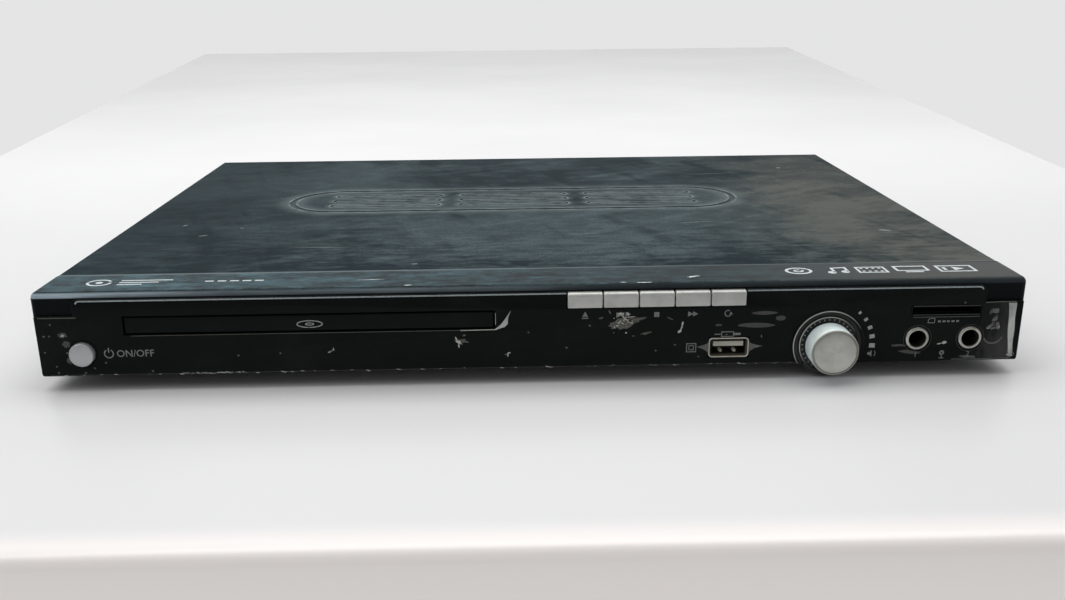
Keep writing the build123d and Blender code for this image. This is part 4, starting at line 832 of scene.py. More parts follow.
def circle(x: float, z: float, radius: float, count: int = 48) -> list[Point2]:
    """The outline of a circle."""
    return [(x + radius * cos(2 * pi * i / count), z + radius * sin(2 * pi * i / count))
            for i in range(count)]


def settle(bm: Shape, name: str, sharp: float = 38.0, recalculate: bool = True) -> Mesh:
    """Turns a mesh in millimetres into one that is ready for the frame.

    Args:
        bm: the mesh; it is freed.
        name: the mesh's name.
        sharp: angle in degrees past which an edge stays crisp.
        recalculate: true to turn all faces outwards.

    Returns:
        The mesh in metres, in the frame.
    """
    bmesh.ops.remove_doubles(bm, verts=bm.verts, dist=1e-4)
    if recalculate:
        bmesh.ops.recalc_face_normals(bm, faces=bm.faces)
    bm.transform(Matrix.Translation((0.0, FACE, 0.0)) @ Matrix.Scale(MM, 4))
    mesh = bpy.data.meshes.new(name)
    bm.to_mesh(mesh)
    bm.free()
    mesh.polygons.foreach_set("use_smooth", [True] * len(mesh.polygons))
    mesh.set_sharp_from_angle(angle=radians(sharp))
    return mesh


def skin(bm: Shape, rings: Sequence[Sequence[Vector]], loop: bool = False) -> None:
    """Joins rings of points by faces.

    Args:
        bm: the mesh that gets them.
        rings: the rings in order; a ring of one point closes an end.
        loop: true to join the last ring to the first, false to close both ends.
    """
    rows = [[bm.verts.new(point) for point in ring] for ring in rings]
    pairs = list(zip(rows, rows[1:]))
    if loop:
        pairs.append((rows[-1], rows[0]))
    for first, second in pairs:
        count = max(len(first), len(second))
        for i in range(count):
            corners = [first[i % len(first)], first[(i + 1) % len(first)],
                       second[(i + 1) % len(second)], second[i % len(second)]]
            unique = list(dict.fromkeys(corners))
            if len(unique) > 2:
                bm.faces.new(unique)
    if not loop:
        for row in (rows[0], rows[-1]):
            if len(row) > 2:
                bm.faces.new(row)


def lathe(profile: Sequence[Point2], x: float, z: float, count: int = 96, loop: bool = False) -> Shape:
    """A turned shape about an axis that runs in depth.

    Args:
        profile: radius and depth of each point of the profile.
        x: the axis's place.
        z: the axis's height.
        count: points round the axis.
        loop: true where the profile is a closed ring.

    Returns:
        The mesh, in millimetres.
    """
    bm = bmesh.new()
    skin(bm, [[Vector((px, depth, pz))
               for px, pz in (circle(x, z, radius, count) if radius > 0.0 else [(x, z)])]
              for radius, depth in profile], loop)
    return bm


def laid(curve: bpy.types.Curve, side: Side, level: float, x: float = 0.0, z: float = 0.0) -> Mesh:
    """A filled curve as a mesh on a plane; the curve is removed.

    Args:
        curve: the curve, with its thickness.
        side: the plane.
        level: where its back lies.
        x: shift along the plane's first axis.
        z: shift along its second axis.

    Returns:
        The mesh, in millimetres.
    """
    holder, back = bpy.data.objects.new(curve.name, curve), curve.extrude + curve.bevel_depth
    flat = bpy.data.meshes.new_from_object(holder)
    for vertex in flat.vertices:
        vertex.co = side.place(vertex.co.x + x, vertex.co.y + z, vertex.co.z + back, level)
    bpy.data.objects.remove(holder)
    bpy.data.curves.remove(curve)
    return flat


def join(bm: Shape, mesh: Mesh) -> Shape:
    """Adds a mesh to a shape as loose geometry; the mesh is removed."""
    bm.from_mesh(mesh)
    bpy.data.meshes.remove(mesh)
    return bm


def plate(name: str, outlines: Sequence[Sequence[Point2]], thickness: float, bevel: float, side: Side,
          level: float, smooth: bool = False) -> Mesh:
    """A flat plate with holes and eased edges, from a filled curve.

    Args:
        name: the mesh's name.
        outlines: closed outlines; one inside another is a hole.
        thickness: how thick the plate is.
        bevel: how much its edges are eased.
        side: the plane that it is laid on.
        level: where its back lies.
        smooth: true to shade across its small angles.

    Returns:
        The mesh, in the frame.
    """
    curve = bpy.data.curves.new(name, "CURVE")
    curve.dimensions, curve.fill_mode, curve.extrude = "2D", "BOTH", thickness / 2 - bevel
    curve.bevel_depth, curve.bevel_resolution, curve.offset = bevel, 2, -bevel
    for outline in outlines:
        spline = curve.splines.new("POLY")
        spline.points.add(len(outline) - 1)
        for point, (px, pz) in zip(spline.points, outline):
            point.co = (px, pz, 0.0, 1.0)
        spline.use_cyclic_u = True
    return settle(join(bmesh.new(), laid(curve, side, level)), name, 50.0 if smooth else 30.0)


def refined(node: str, bevel: float, least_angle: float = 40.0, segments: int = 2) -> Mesh:
    """A copy of a CAD node's mesh with its crisp edges eased.

    Args:
        node: the node.
        bevel: width of the eased edge.
        least_angle: only edges that turn by more than this are eased, in degrees.
        segments: faces across each eased edge.

    Returns:
        The mesh, in the frame.
    """
    bm = bmesh.new()
    bm.from_mesh(frame["nodes"][node].data)
    bm.transform(Matrix.Scale(1 / MM, 4) @ Matrix.Translation((0.0, -FACE, 0.0)))
    bmesh.ops.remove_doubles(bm, verts=bm.verts, dist=0.002)
    bmesh.ops.dissolve_limit(bm, angle_limit=radians(0.6), verts=bm.verts, edges=bm.edges)
    crisp = [e for e in bm.edges
             if len(e.link_faces) == 2 and e.calc_face_angle() > radians(least_angle)]
    bmesh.ops.bevel(bm, geom=crisp, offset=bevel, segments=segments, profile=0.5, affect="EDGES",
                    clamp_overlap=True)
    return settle(bm, node + "_eased", 34.0, recalculate=False)


# Geometry Nodes

class Pattern:
    """A geometry node group with named inputs that ends in Realize Instances and Set Material."""

    def __init__(self, name: str) -> None:
        """Starts an empty group."""
        self.tree = bpy.data.node_groups.new(name, "GeometryNodeTree")
        for way in ("INPUT", "OUTPUT"):
            self.tree.interface.new_socket("Geometry", in_out=way, socket_type="NodeSocketGeometry")
        self.group_in = self.tree.nodes.new("NodeGroupInput")

    def inputs(self, **kinds: str) -> list[Socket]:
        """Adds named inputs of the given kinds and hands on their sockets."""
        for name, kind in kinds.items():
            self.tree.interface.new_socket(name, in_out="INPUT", socket_type="NodeSocket" + kind)
        return [self.group_in.outputs[name] for name in kinds]

    def node(self, kind: str, settings: dict, sockets: dict, out: Union[int, str] = 0) -> Socket:
        """Any geometry node; out picks the output that is handed on."""
        return add_node(self.tree, kind, settings, sockets).outputs[out]

    def close(self, geometry: Socket) -> "Pattern":
        """Ends the group with real geometry and its material."""
        real = self.node("GeometryNodeRealizeInstances", {}, {0: geometry})
        finish, = self.inputs(Finish="Material")
        dressed = self.node("GeometryNodeSetMaterial", {}, {0: real, "Material": finish})
        add_node(self.tree, "NodeGroupOutput", {}, {0: dressed})
        return self

    def grow(self, name: str, base: Optional[Mesh] = None, sharp: float = 38.0, **values: object) -> Mesh:
        """Runs the group on a mesh and keeps the result.

        Args:
            name: name of the new mesh.
            base: the mesh that the group starts from, in millimetres, or none for a single point.
            sharp: angle in degrees past which an edge stays crisp.
            values: the group's inputs.

        Returns:
            The plain mesh, in the frame.
        """
        holder = put(name + "_build", base or points_mesh([Vector()], [Vector((0, 0, 1))]))
        modifier = holder.modifiers.new("build", "NODES")
        modifier.node_group = self.tree
        for item in self.tree.interface.items_tree:
            if item.in_out == "INPUT" and item.name in values:
                modifier[item.identifier] = values[item.name]
        grown = evaluated(holder)
        holder.modifiers.remove(modifier)
        bpy.data.objects.remove(holder)
        return settle(join(bmesh.new(), grown), name, sharp)


def evaluated(holder: bpy.types.Object) -> Mesh:
    """A plain mesh of an object with its modifiers run."""
    depsgraph = bpy.context.evaluated_depsgraph_get()
    return bpy.data.meshes.new_from_object(holder.evaluated_get(depsgraph), depsgraph=depsgraph)


def points_mesh(points: Sequence[Vector], facing: Sequence[Vector]) -> Mesh:
    """Loose points with the way that each one faces, for a group that puts copies on them."""
    mesh = bpy.data.meshes.new("places")
    mesh.from_pydata([tuple(p) for p in points], [], [])
    attribute = mesh.attributes.new("facing", "FLOAT_VECTOR", "POINT")
    for item, way in zip(attribute.data, facing):
        item.vector = way
    return mesh


def arc_pattern() -> Pattern:
    """Blocks along an arc on the front plane, each set radially and larger than the last by Growth."""
    pattern = Pattern("blocks_on_arc")
    count, radius, start, sweep, block, growth, centre = pattern.inputs(
        Count="Int", Radius="Float", Start="Float", Sweep="Float", Block="Vector", Growth="Float",
        Centre="Vector")
    arc = pattern.node("GeometryNodeCurveArc", {"mode": "RADIUS"}, {
        "Resolution": count, "Radius": radius, "Start Angle": start, "Sweep Angle": sweep})
    cube = pattern.node("GeometryNodeMeshCube", {}, {"Size": block})
    here = pattern.node("GeometryNodeInputPosition", {}, {})
    aimed = pattern.node("FunctionNodeAlignRotationToVector", {"axis": "X"}, {"Vector": here})
    index = pattern.node("GeometryNodeInputIndex", {}, {})
    scale = pattern.node("ShaderNodeMath", {"operation": "MULTIPLY_ADD"}, {0: index, 1: growth, 2: 1.0})
    sizes = pattern.node("ShaderNodeCombineXYZ", {}, {0: scale, 1: scale, 2: 1.0})
    blocks = pattern.node("GeometryNodeInstanceOnPoints", {}, {
        "Points": arc, "Instance": cube, "Rotation": aimed, "Scale": sizes})
    return pattern.close(pattern.node("GeometryNodeTransform", {}, {
        "Geometry": blocks, "Translation": centre, "Rotation": (radians(90.0), 0.0, 0.0)}))


def fleck_pattern() -> Pattern:
    """Small torn chips along a line, each with its own size, turn and offset."""
    pattern = Pattern("flecks_on_line")
    count, start, end, scatter, small, large, share, seed = pattern.inputs(
        Count="Int", Start="Vector", End="Vector", Scatter="Vector", Small="Vector", Large="Vector",
        Share="Float", Seed="Int")

    def between(least: object, most: object) -> Socket:
        """A random vector for each chip, between two ends."""
        return pattern.node("FunctionNodeRandomValue", {"data_type": "FLOAT_VECTOR"},
                            {0: least, 1: most, "Seed": seed})

    line = pattern.node("GeometryNodeMeshLine", {"mode": "END_POINTS"}, {
        "Count": count, "Start Location": start, "Offset": end})
    back = pattern.node("ShaderNodeVectorMath", {"operation": "SCALE"}, {0: scatter, "Scale": -1.0})
    moved = pattern.node("GeometryNodeSetPosition", {}, {"Geometry": line, "Offset": between(back, scatter)})
    chosen = pattern.node("FunctionNodeRandomValue", {"data_type": "BOOLEAN"},
                          {"Probability": share, "Seed": seed}, 3)
    chip = pattern.node("GeometryNodeMeshCylinder", {}, {"Vertices": 6, "Radius": 0.5, "Depth": 1.0})
    upright_turn, lean = radians(90.0), 0.35
    return pattern.close(pattern.node("GeometryNodeInstanceOnPoints", {}, {
        "Points": moved, "Selection": chosen, "Instance": chip,
        "Rotation": between((upright_turn, -lean, 0.0), (upright_turn, lean, 0.0)),
        "Scale": between(small, large)}))


class Copier(Pattern):
    """Copies of one object on points, turned to face their way and spun at random."""

    def __init__(self) -> None:
        """Makes the group."""
        super().__init__("copies_on_places")
        source, spin, seed = self.inputs(Part="Object", Spin="Float", Seed="Int")
        shape = self.node("GeometryNodeObjectInfo", {}, {"Object": source}, "Geometry")
        angle = self.node("FunctionNodeRandomValue", {"data_type": "FLOAT"},
                          {2: 0.0, 3: spin, "Seed": seed}, 1)
        turned = self.node("ShaderNodeCombineXYZ", {}, {2: angle})
        start = self.node("FunctionNodeEulerToRotation", {}, {0: turned})
        way = self.node("GeometryNodeInputNamedAttribute", {"data_type": "FLOAT_VECTOR"}, {"Name": "facing"})
        aimed = self.node("FunctionNodeAlignRotationToVector", {"axis": "Z"},
                          {"Rotation": start, "Vector": way})
        self.close(self.node("GeometryNodeInstanceOnPoints", {}, {
            "Points": self.group_in.outputs[0], "Instance": shape, "Rotation": aimed}))


def loose_object(name: str, bm: Shape) -> bpy.types.Object:
    """An object in the scene for a working shape, its faces turned outwards; the shape is freed."""
    bmesh.ops.recalc_face_normals(bm, faces=bm.faces)
    mesh = bpy.data.meshes.new(name)
    bm.to_mesh(mesh)
    bm.free()
    return put(name, mesh)


def upright(profile: Sequence[Point2], count: int = 32, loop: bool = False) -> Shape:
    """A turned shape about Z, from its radii and heights."""
    bm = lathe(profile, 0.0, 0.0, count, loop)
    bm.transform(Matrix.Rotation(radians(90.0), 4, "X"))
    return bm


def cut_by(bm: Shape, other: Shape) -> Shape:
    """Takes one closed mesh out of another; both are freed.

    Args:
        bm: the mesh that is cut.
        other: the cutter.

    Returns:
        What is left.
    """
    whole, cutter = loose_object("cut", bm), loose_object("cut", other)
    modifier = whole.modifiers.new("cut", "BOOLEAN")
    modifier.operation, modifier.object, modifier.solver = "DIFFERENCE", cutter, "EXACT"
    left = join(bmesh.new(), evaluated(whole))
    for item in (whole, cutter):
        bpy.data.objects.remove(item)
    return left


def box_mesh(x0: float, x1: float, y0: float, y1: float, z0: float, z1: float) -> Shape:
    """A plain block, for cutting or for joining into a larger shape."""
    bm = bmesh.new()
    middle = Matrix.Translation(((x0 + x1) / 2, (y0 + y1) / 2, (z0 + z1) / 2))
    bmesh.ops.create_cube(bm, size=1.0, matrix=middle @ Matrix.Diagonal((x1 - x0, y1 - y0, z1 - z0, 1.0)))
    return bm


def merge(bm: Shape, other: Shape) -> Shape:
    """Adds a second shape to a first one as loose geometry; the second is freed."""
    mesh = bpy.data.meshes.new("merge")
    other.to_mesh(mesh)
    other.free()
    return join(bm, mesh)


# Printed signs

class Print:
    """Flat printed shapes on one plane, gathered into one thin mesh."""

    def __init__(self, side: Side, level: float, thickness: float = 0.02) -> None:
        """Starts an empty print on a plane at a level, with ink that stands up by its thickness."""
        self.side, self.level, self.thickness = side, level, thickness
        self.bm = bmesh.new()

    def polygon(self, points: Sequence[Point2]) -> None:
        """Adds a filled outline."""
        front, back = ([self.bm.verts.new(self.side.place(px, pz, rise, self.level)) for px, pz in points]
                       for rise in (self.thickness, 0.0))
        self.bm.faces.new(front)
        self.bm.faces.new(back[::-1])
        for i in range(len(points)):
            self.bm.faces.new((front[i - 1], back[i - 1], back[i], front[i]))

    def blots(self, worn_places: Marks) -> None:
        """Adds an irregular patch for each mark."""
        for mark in worn_places:
            self.blot(mark)

    def blot(self, mark: Mark) -> None:
        """Adds one irregular patch, round or pointed at its ends."""
        dice = random.Random(f"{mark.x} {mark.z}")
        angle = radians(mark.turn)
        along, across = (cos(angle), sin(angle)), (-sin(angle), cos(angle))
        count = 24 if max(mark.length, mark.width) > 2.0 else 12
        outline = []
        for i in range(count):
            t = 2 * pi * i / count
            reach = 1.0 + dice.uniform(-mark.ragged, mark.ragged)
            u = cos(t) * mark.length / 2 * reach
            v = sin(t) * abs(sin(t)) ** mark.point * mark.width / 2 * reach
            outline.append((mark.x + u * along[0] + v * across[0], mark.z + u * along[1] + v * across[1]))
        self.polygon(outline)

    def stroke(self, points: Sequence[Point2], width: float, closed: bool = False) -> None:
        """Adds a line of even width through points.

        Args:
            points: the line's points.
            width: its width.
            closed: true to join its ends.
        """
        count = len(points)
        sides: tuple[list[Point2], list[Point2]] = ([], [])
        for i in range(count):
            before = Vector(points[i - 1] if closed or i else points[0])
            after = Vector(points[(i + 1) % count] if closed or i < count - 1 else points[-1])
            here = Vector(points[i])
            ways = [w.normalized() for w in (here - before, after - here) if w.length > 1e-9]
            along = sum(ways, Vector((0.0, 0.0))).normalized()
            reach = width / 2 / max(0.35, along.dot(ways[0]))
            for sign, line in zip((1.0, -1.0), sides):
                line.append((here.x - along.y * reach * sign, here.y + along.x * reach * sign))
        for i in range(0 if closed else 1, count):
            self.polygon([sides[0][i - 1], sides[0][i], sides[1][i], sides[1][i - 1]])

    def arc(self, x: float, z: float, radius: float, width: float, start: float = 0.0,
            end: float = 360.0, flat: float = 1.0) -> None:
        """Adds part of a ring.

        Args:
            x: centre along the first axis.
            z: centre along the second axis.
            radius: middle radius of the ring.
            width: width of the line.
            start: first angle, in degrees.
            end: last angle, in degrees.
            flat: height of the ring as a share of its width.
        """
        steps = max(8, int(abs(end - start) / 12))
        whole = abs(end - start) >= 360.0
        turn = [radians(start + (end - start) * i / steps) for i in range(steps + (0 if whole else 1))]
        self.stroke([(x + radius * cos(a), z + radius * flat * sin(a)) for a in turn], width, whole)

    def disc(self, x: float, z: float, radius: float) -> None:
        """Adds a filled disc."""
        self.polygon(circle(x, z, radius, 20))

    def frame(self, x: float, z: float, width: float, height: float, line: float) -> None:
        """Adds the outline of a box about its middle."""
        self.stroke([(x - width / 2, z - height / 2), (x + width / 2, z - height / 2),
                     (x + width / 2, z + height / 2), (x - width / 2, z + height / 2)], line, True)

    def arrow(self, x: float, z: float, size: float, turn: float = 0.0) -> None:
        """Adds a triangle that points along X, or turned from it by an angle in degrees."""
        ways = [radians(turn + corner) for corner in (0.0, 125.0, 235.0)]
        self.polygon([(x + size * 0.6 * cos(way), z + size * 0.6 * sin(way)) for way in ways])

    def dash(self, x: float, z: float, reach: float, width: float, upright: bool = False) -> None:
        """Adds a straight line about its middle; reach is half its length."""
        side, rise = (0.0, reach) if upright else (reach, 0.0)
        self.stroke([(x - side, z - rise), (x + side, z + rise)], width)

    def words(self, text: str, x: float, z: float, height: float) -> None:
        """Adds generic lettering, such as the two states of a switch.

        Args:
            text: the letters or number.
            x: the middle of the text.
            z: the middle of its height.
            height: height of its capitals.
        """
        curve = bpy.data.curves.new("words", "FONT")
        curve.body, curve.align_x, curve.size = text, "CENTER", height / 0.69
        curve.resolution_u, curve.extrude = 3, self.thickness / 2
        join(self.bm, laid(curve, self.side, self.level, x, z - height / 2))


# Sub-assemblies

@dataclass
class Assembly:
    """What every sub-assembly is built with."""

    shelf: FinishShelf
    copier: Copier

    def add(self, name: str, mesh: Mesh, slot: str, body: str = Body.CASE, stands_for: Sequence[str] = (),
            finish: Optional[str] = None) -> None:
        """Puts a finished mesh in the scene as one piece.

        Args:
            name: the piece's name.
            mesh: its mesh, in the frame.
            slot: the record's slot that its finish belongs to.
            body: the body that it rides on.
            stands_for: CAD nodes that it replaces.
            finish: key of its finish where that isn't the slot's.
        """
        mesh.materials.clear()
        mesh.materials.append(self.shelf[finish or slot])
        piece = put(name, mesh)
        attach(piece, body.value if isinstance(body, Body) else body)
        if stands_for:
            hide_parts(*stands_for)
        log.info("piece %s: %d faces on %s", name, len(mesh.polygons), body)

    def add_print(self, name: str, ink: Print, finish: str, slot: str = "fascia_plastic",
                  body: str = Body.CASE) -> None:
        """Puts a print in the scene, in a finish of its own."""
        self.add(name, settle(ink.bm, name, 30.0), slot, body, finish=finish)

    def add_copies(self, name: str, shape: Shape, places: Sequence[Vector],
                   facing: Sequence[Sequence[float]], slot: str, stands_for: Sequence[str] = (),
                   finish: Optional[str] = None, spin: float = 0.0, sharp: float = 38.0) -> None:
        """Puts copies of one shape in the scene as one piece.

        Args:
            name: the piece's name.
            shape: the part, in millimetres, standing up along Z from its origin; it is freed.
            places: where the copies stand.
            facing: the way that each one's Z points, or one way for all.
            slot: the record's slot that its finish belongs to.
            stands_for: CAD nodes that it replaces.
            finish: key of its finish where that isn't the slot's.
            spin: largest random turn, in radians.
            sharp: angle in degrees past which an edge stays crisp.
        """
        bmesh.ops.remove_doubles(shape, verts=shape.verts, dist=1e-4)
        part = loose_object(name + "_part", shape)
        base = points_mesh(places, list(facing) * (len(places) // len(facing)))
        mesh = self.copier.grow(name, base, sharp, Part=part, Spin=spin, Seed=7,
                                Finish=self.shelf[finish or slot])
        bpy.data.objects.remove(part)
        self.add(name, mesh, slot, stands_for=stands_for, finish=finish)


def loose_rooms(node: str) -> list[Room]:
    """The room of each separate solid of a node, ordered by x, then depth, then height."""
    bm = bmesh.new()
    bm.from_mesh(frame["nodes"][node].data)
    bmesh.ops.remove_doubles(bm, verts=bm.verts, dist=2e-6)
    waiting = set(bm.verts)
    rooms = []
    while waiting:
        front = [waiting.pop()]
        island = []
        while front:
            vertex = front.pop()
            island.append((vertex.co - Vector((0.0, FACE, 0.0))) / MM)
            for edge in vertex.link_edges:
                other = edge.other_vert(vertex)
                if other in waiting:
                    waiting.remove(other)
                    front.append(other)
        low, high = (Vector(pick(axis) for axis in zip(*island)) for pick in (min, max))
        rooms.append(Room(low, high))
    bm.free()
    return sorted(rooms, key=lambda room: tuple(round(v, 1) for v in room.middle))


@dataclass
class Housing(Assembly):
    """The screws, the feet, what is printed on the front strip, and what wear left on it and the cover."""

    screw_radius: float = 2.9
    screw_head: float = 1.7
    shank_radius: float = 1.4
    recess: Point2 = (3.3, 0.75)
    foot_recess: float = 3.2
    strip_level: float = 37.6
    badge_x: float = -160.6
    dashes_x: float = -121.6
    icon_xs: tuple[float, ...] = (100.3, 114.9, 128, 143.2, 160)
    icon_depth: float = 14.5
    cover_scratches: Marks = marks(
        (76.3, 97.1, 15.6, 0.45, 9, 0.1, 0.5), (154.9, 76.4, 5.2, 1.4, -33, 0.3), (146.5, 227.1, 2.2, 1.8),
        (-155.8, 104.9, 3, 0.8, 60, 0.3), (-142.2, 85.1, 3.6, 0.7, 20, 0.3),
        (-128.3, 98.3, 2.4, 0.6, -30, 0.3), (-45.6, 34.0, 2.6, 0.9, 10, 0.3),
        (102.0, 212.0, 24, 0.35, 4, 0.1, 0.5), (-88.0, 62.0, 30, 0.3, -7, 0.1, 0.5),
        (24.0, 78.0, 19, 0.3, 14, 0.1, 0.5))
    strip_smears: Marks = marks(
        (59.5, 9.3, 4.6, 1.3, 20, 0.4), (41.0, 2.8, 6, 0.7, 0, 0.4), (33.0, 3.4, 2.4, 0.6, 0, 0.4),
        (-45.6, 4.2, 2.6, 0.8, 10, 0.3), (-60.0, 12.0, 9, 0.5, 3, 0.3, 0.5))

    def build(self) -> None:
        """Adds the housing's pieces."""
        self.screws()
        self.feet()
        self.strip_signs()
        cover = Room.of("top_cover").high.z
        for name, level, worn_places, slot, finish in (
                ("cover_scratches", cover, self.cover_scratches, "case_steel", "worn_paint"),
                ("strip_smears", self.strip_level, self.strip_smears, "bezel_plastic", "strip_ink")):
            worn = Print(Side.TOP, level)
            worn.blots(worn_places)
            self.add_print(name, worn, finish, slot)

    def screw_shape(self, shank: float) -> Shape:
        """A pan head screw with a cross recess, its seat at the origin and its head up.

        Args:
            shank: length of its shank.

        Returns:
            The shape, in millimetres.
        """
        radius, head = self.screw_radius, self.screw_head
        body = upright([(0, -shank), (self.shank_radius, -shank), (self.shank_radius, 0), (radius, 0),
                        (radius, head * 0.35), (radius * 0.95, head * 0.62), (radius * 0.8, head * 0.84),
                        (radius * 0.5, head * 0.98), (0, head)], 28)
        long, wide = (side / 2 for side in self.recess)
        for turn in (0, 90):
            arm = box_mesh(-long, long, -wide, wide, head * 0.35, head + 1)
            arm.transform(Matrix.Rotation(radians(turn), 4, "Z"))
            body = cut_by(body, arm)
        return body

    def screws(self) -> None:
        """The cover's screws, on the rear and both sides."""
        rear = Room.of("top_cover").high.y
        groups: dict[tuple[float, float, float], list[Room]] = {}
        for room in loose_rooms("cover_screws"):
            sideways = (copysign(1, room.middle.x), 0, 0)
            groups.setdefault((0, 1, 0) if room.high.y > rear else sideways, []).append(room)
        seated = [(room, Vector(way)) for way, rooms in groups.items() for room in rooms]
        reaches = [abs(room.size.dot(aim)) for room, aim in seated]
        places = [room.middle + aim * (reach / 2 - self.screw_head)
                  for (room, aim), reach in zip(seated, reaches)]
        self.add_copies("cover_screw_heads", self.screw_shape(max(reaches) - self.screw_head), places,
                        [aim for _, aim in seated], "screw_steel", ("cover_screws",), spin=pi / 2)

    def feet(self) -> None:
        """Four rubber feet, each with a recess for its screw."""
        rooms = loose_rooms("rubber_feet")
        tall, wide, well = rooms[0].size.z, rooms[0].size.x / 2, self.foot_recess
        shape = upright([(0, 0), (wide, 0), (wide, 0.9), (wide - 0.25, 1.2), (wide - 0.9, tall - 0.9),
                         (wide - 1.15, tall - 0.25), (wide - 1.6, tall), (well + 0.4, tall),
                         (well, tall - 0.35), (well - 0.25, tall * 0.45), (1.3, tall * 0.45),
                         (1.3, tall * 0.62), (0, tall * 0.62)], 40)
        places = [Vector((room.middle.x, room.middle.y, room.high.z)) for room in rooms]
        self.add_copies("feet_moulded", shape, places, [(0, 0, -1)], "foot_rubber", ("rubber_feet",))

    def strip_signs(self) -> None:
        """A plain disc sign with lines at the left of the strip and five pictures at its right."""
        ink = Print(Side.TOP, self.strip_level)
        x, depth = self.badge_x, self.icon_depth - 1
        ink.arc(x, depth, 4.2, 1, flat=0.85)
        ink.disc(x, depth, 1.3)
        for i, length in enumerate((19, 14.5, 9)):
            ink.dash(x + 7.4 + length / 2, depth + 2.6 - 2.6 * i, length / 2, 0.95)
        for step in range(5):
            ink.dash(self.dashes_x + 1.6 + step * 4.6, depth, 1.6, 1.2)
        disc, note, film, screen, box = self.icon_xs
        y = self.icon_depth
        for radius, width in ((4.6, 1.1), (1.6, 0.9)):
            ink.arc(disc, y, radius, width, flat=0.8)
        for side, rise in ((-2.6, -2.7), (2.6, -2.1)):
            ink.disc(note + side, y + rise, 1.6)
        stem, flag = note - 1.5, note + 3.7
        ink.stroke([(stem, y - 2.7), (stem, y + 2.9), (flag, y + 3.5), (flag, y - 2)], 1)
        ink.frame(film, y, 10.4, 7, 0.9)
        for step in range(4):
            for rise in (-1.9, 1.9):
                ink.dash(film - 3.45 + step * 2.3, y + rise, 0.55, 1.1)
        ink.frame(screen, y + 1, 11.6, 5.6, 1)
        ink.dash(screen, y - 3.6, 3.4, 1.1)
        ink.frame(box, y, 13, 7.2, 1)
        ink.arrow(box + 0.6, y, 4.6)
        ink.dash(box - 4.2, y, 1.8, 1.2, True)
        self.add_print("strip_pictures", ink, "strip_ink", "bezel_plastic")


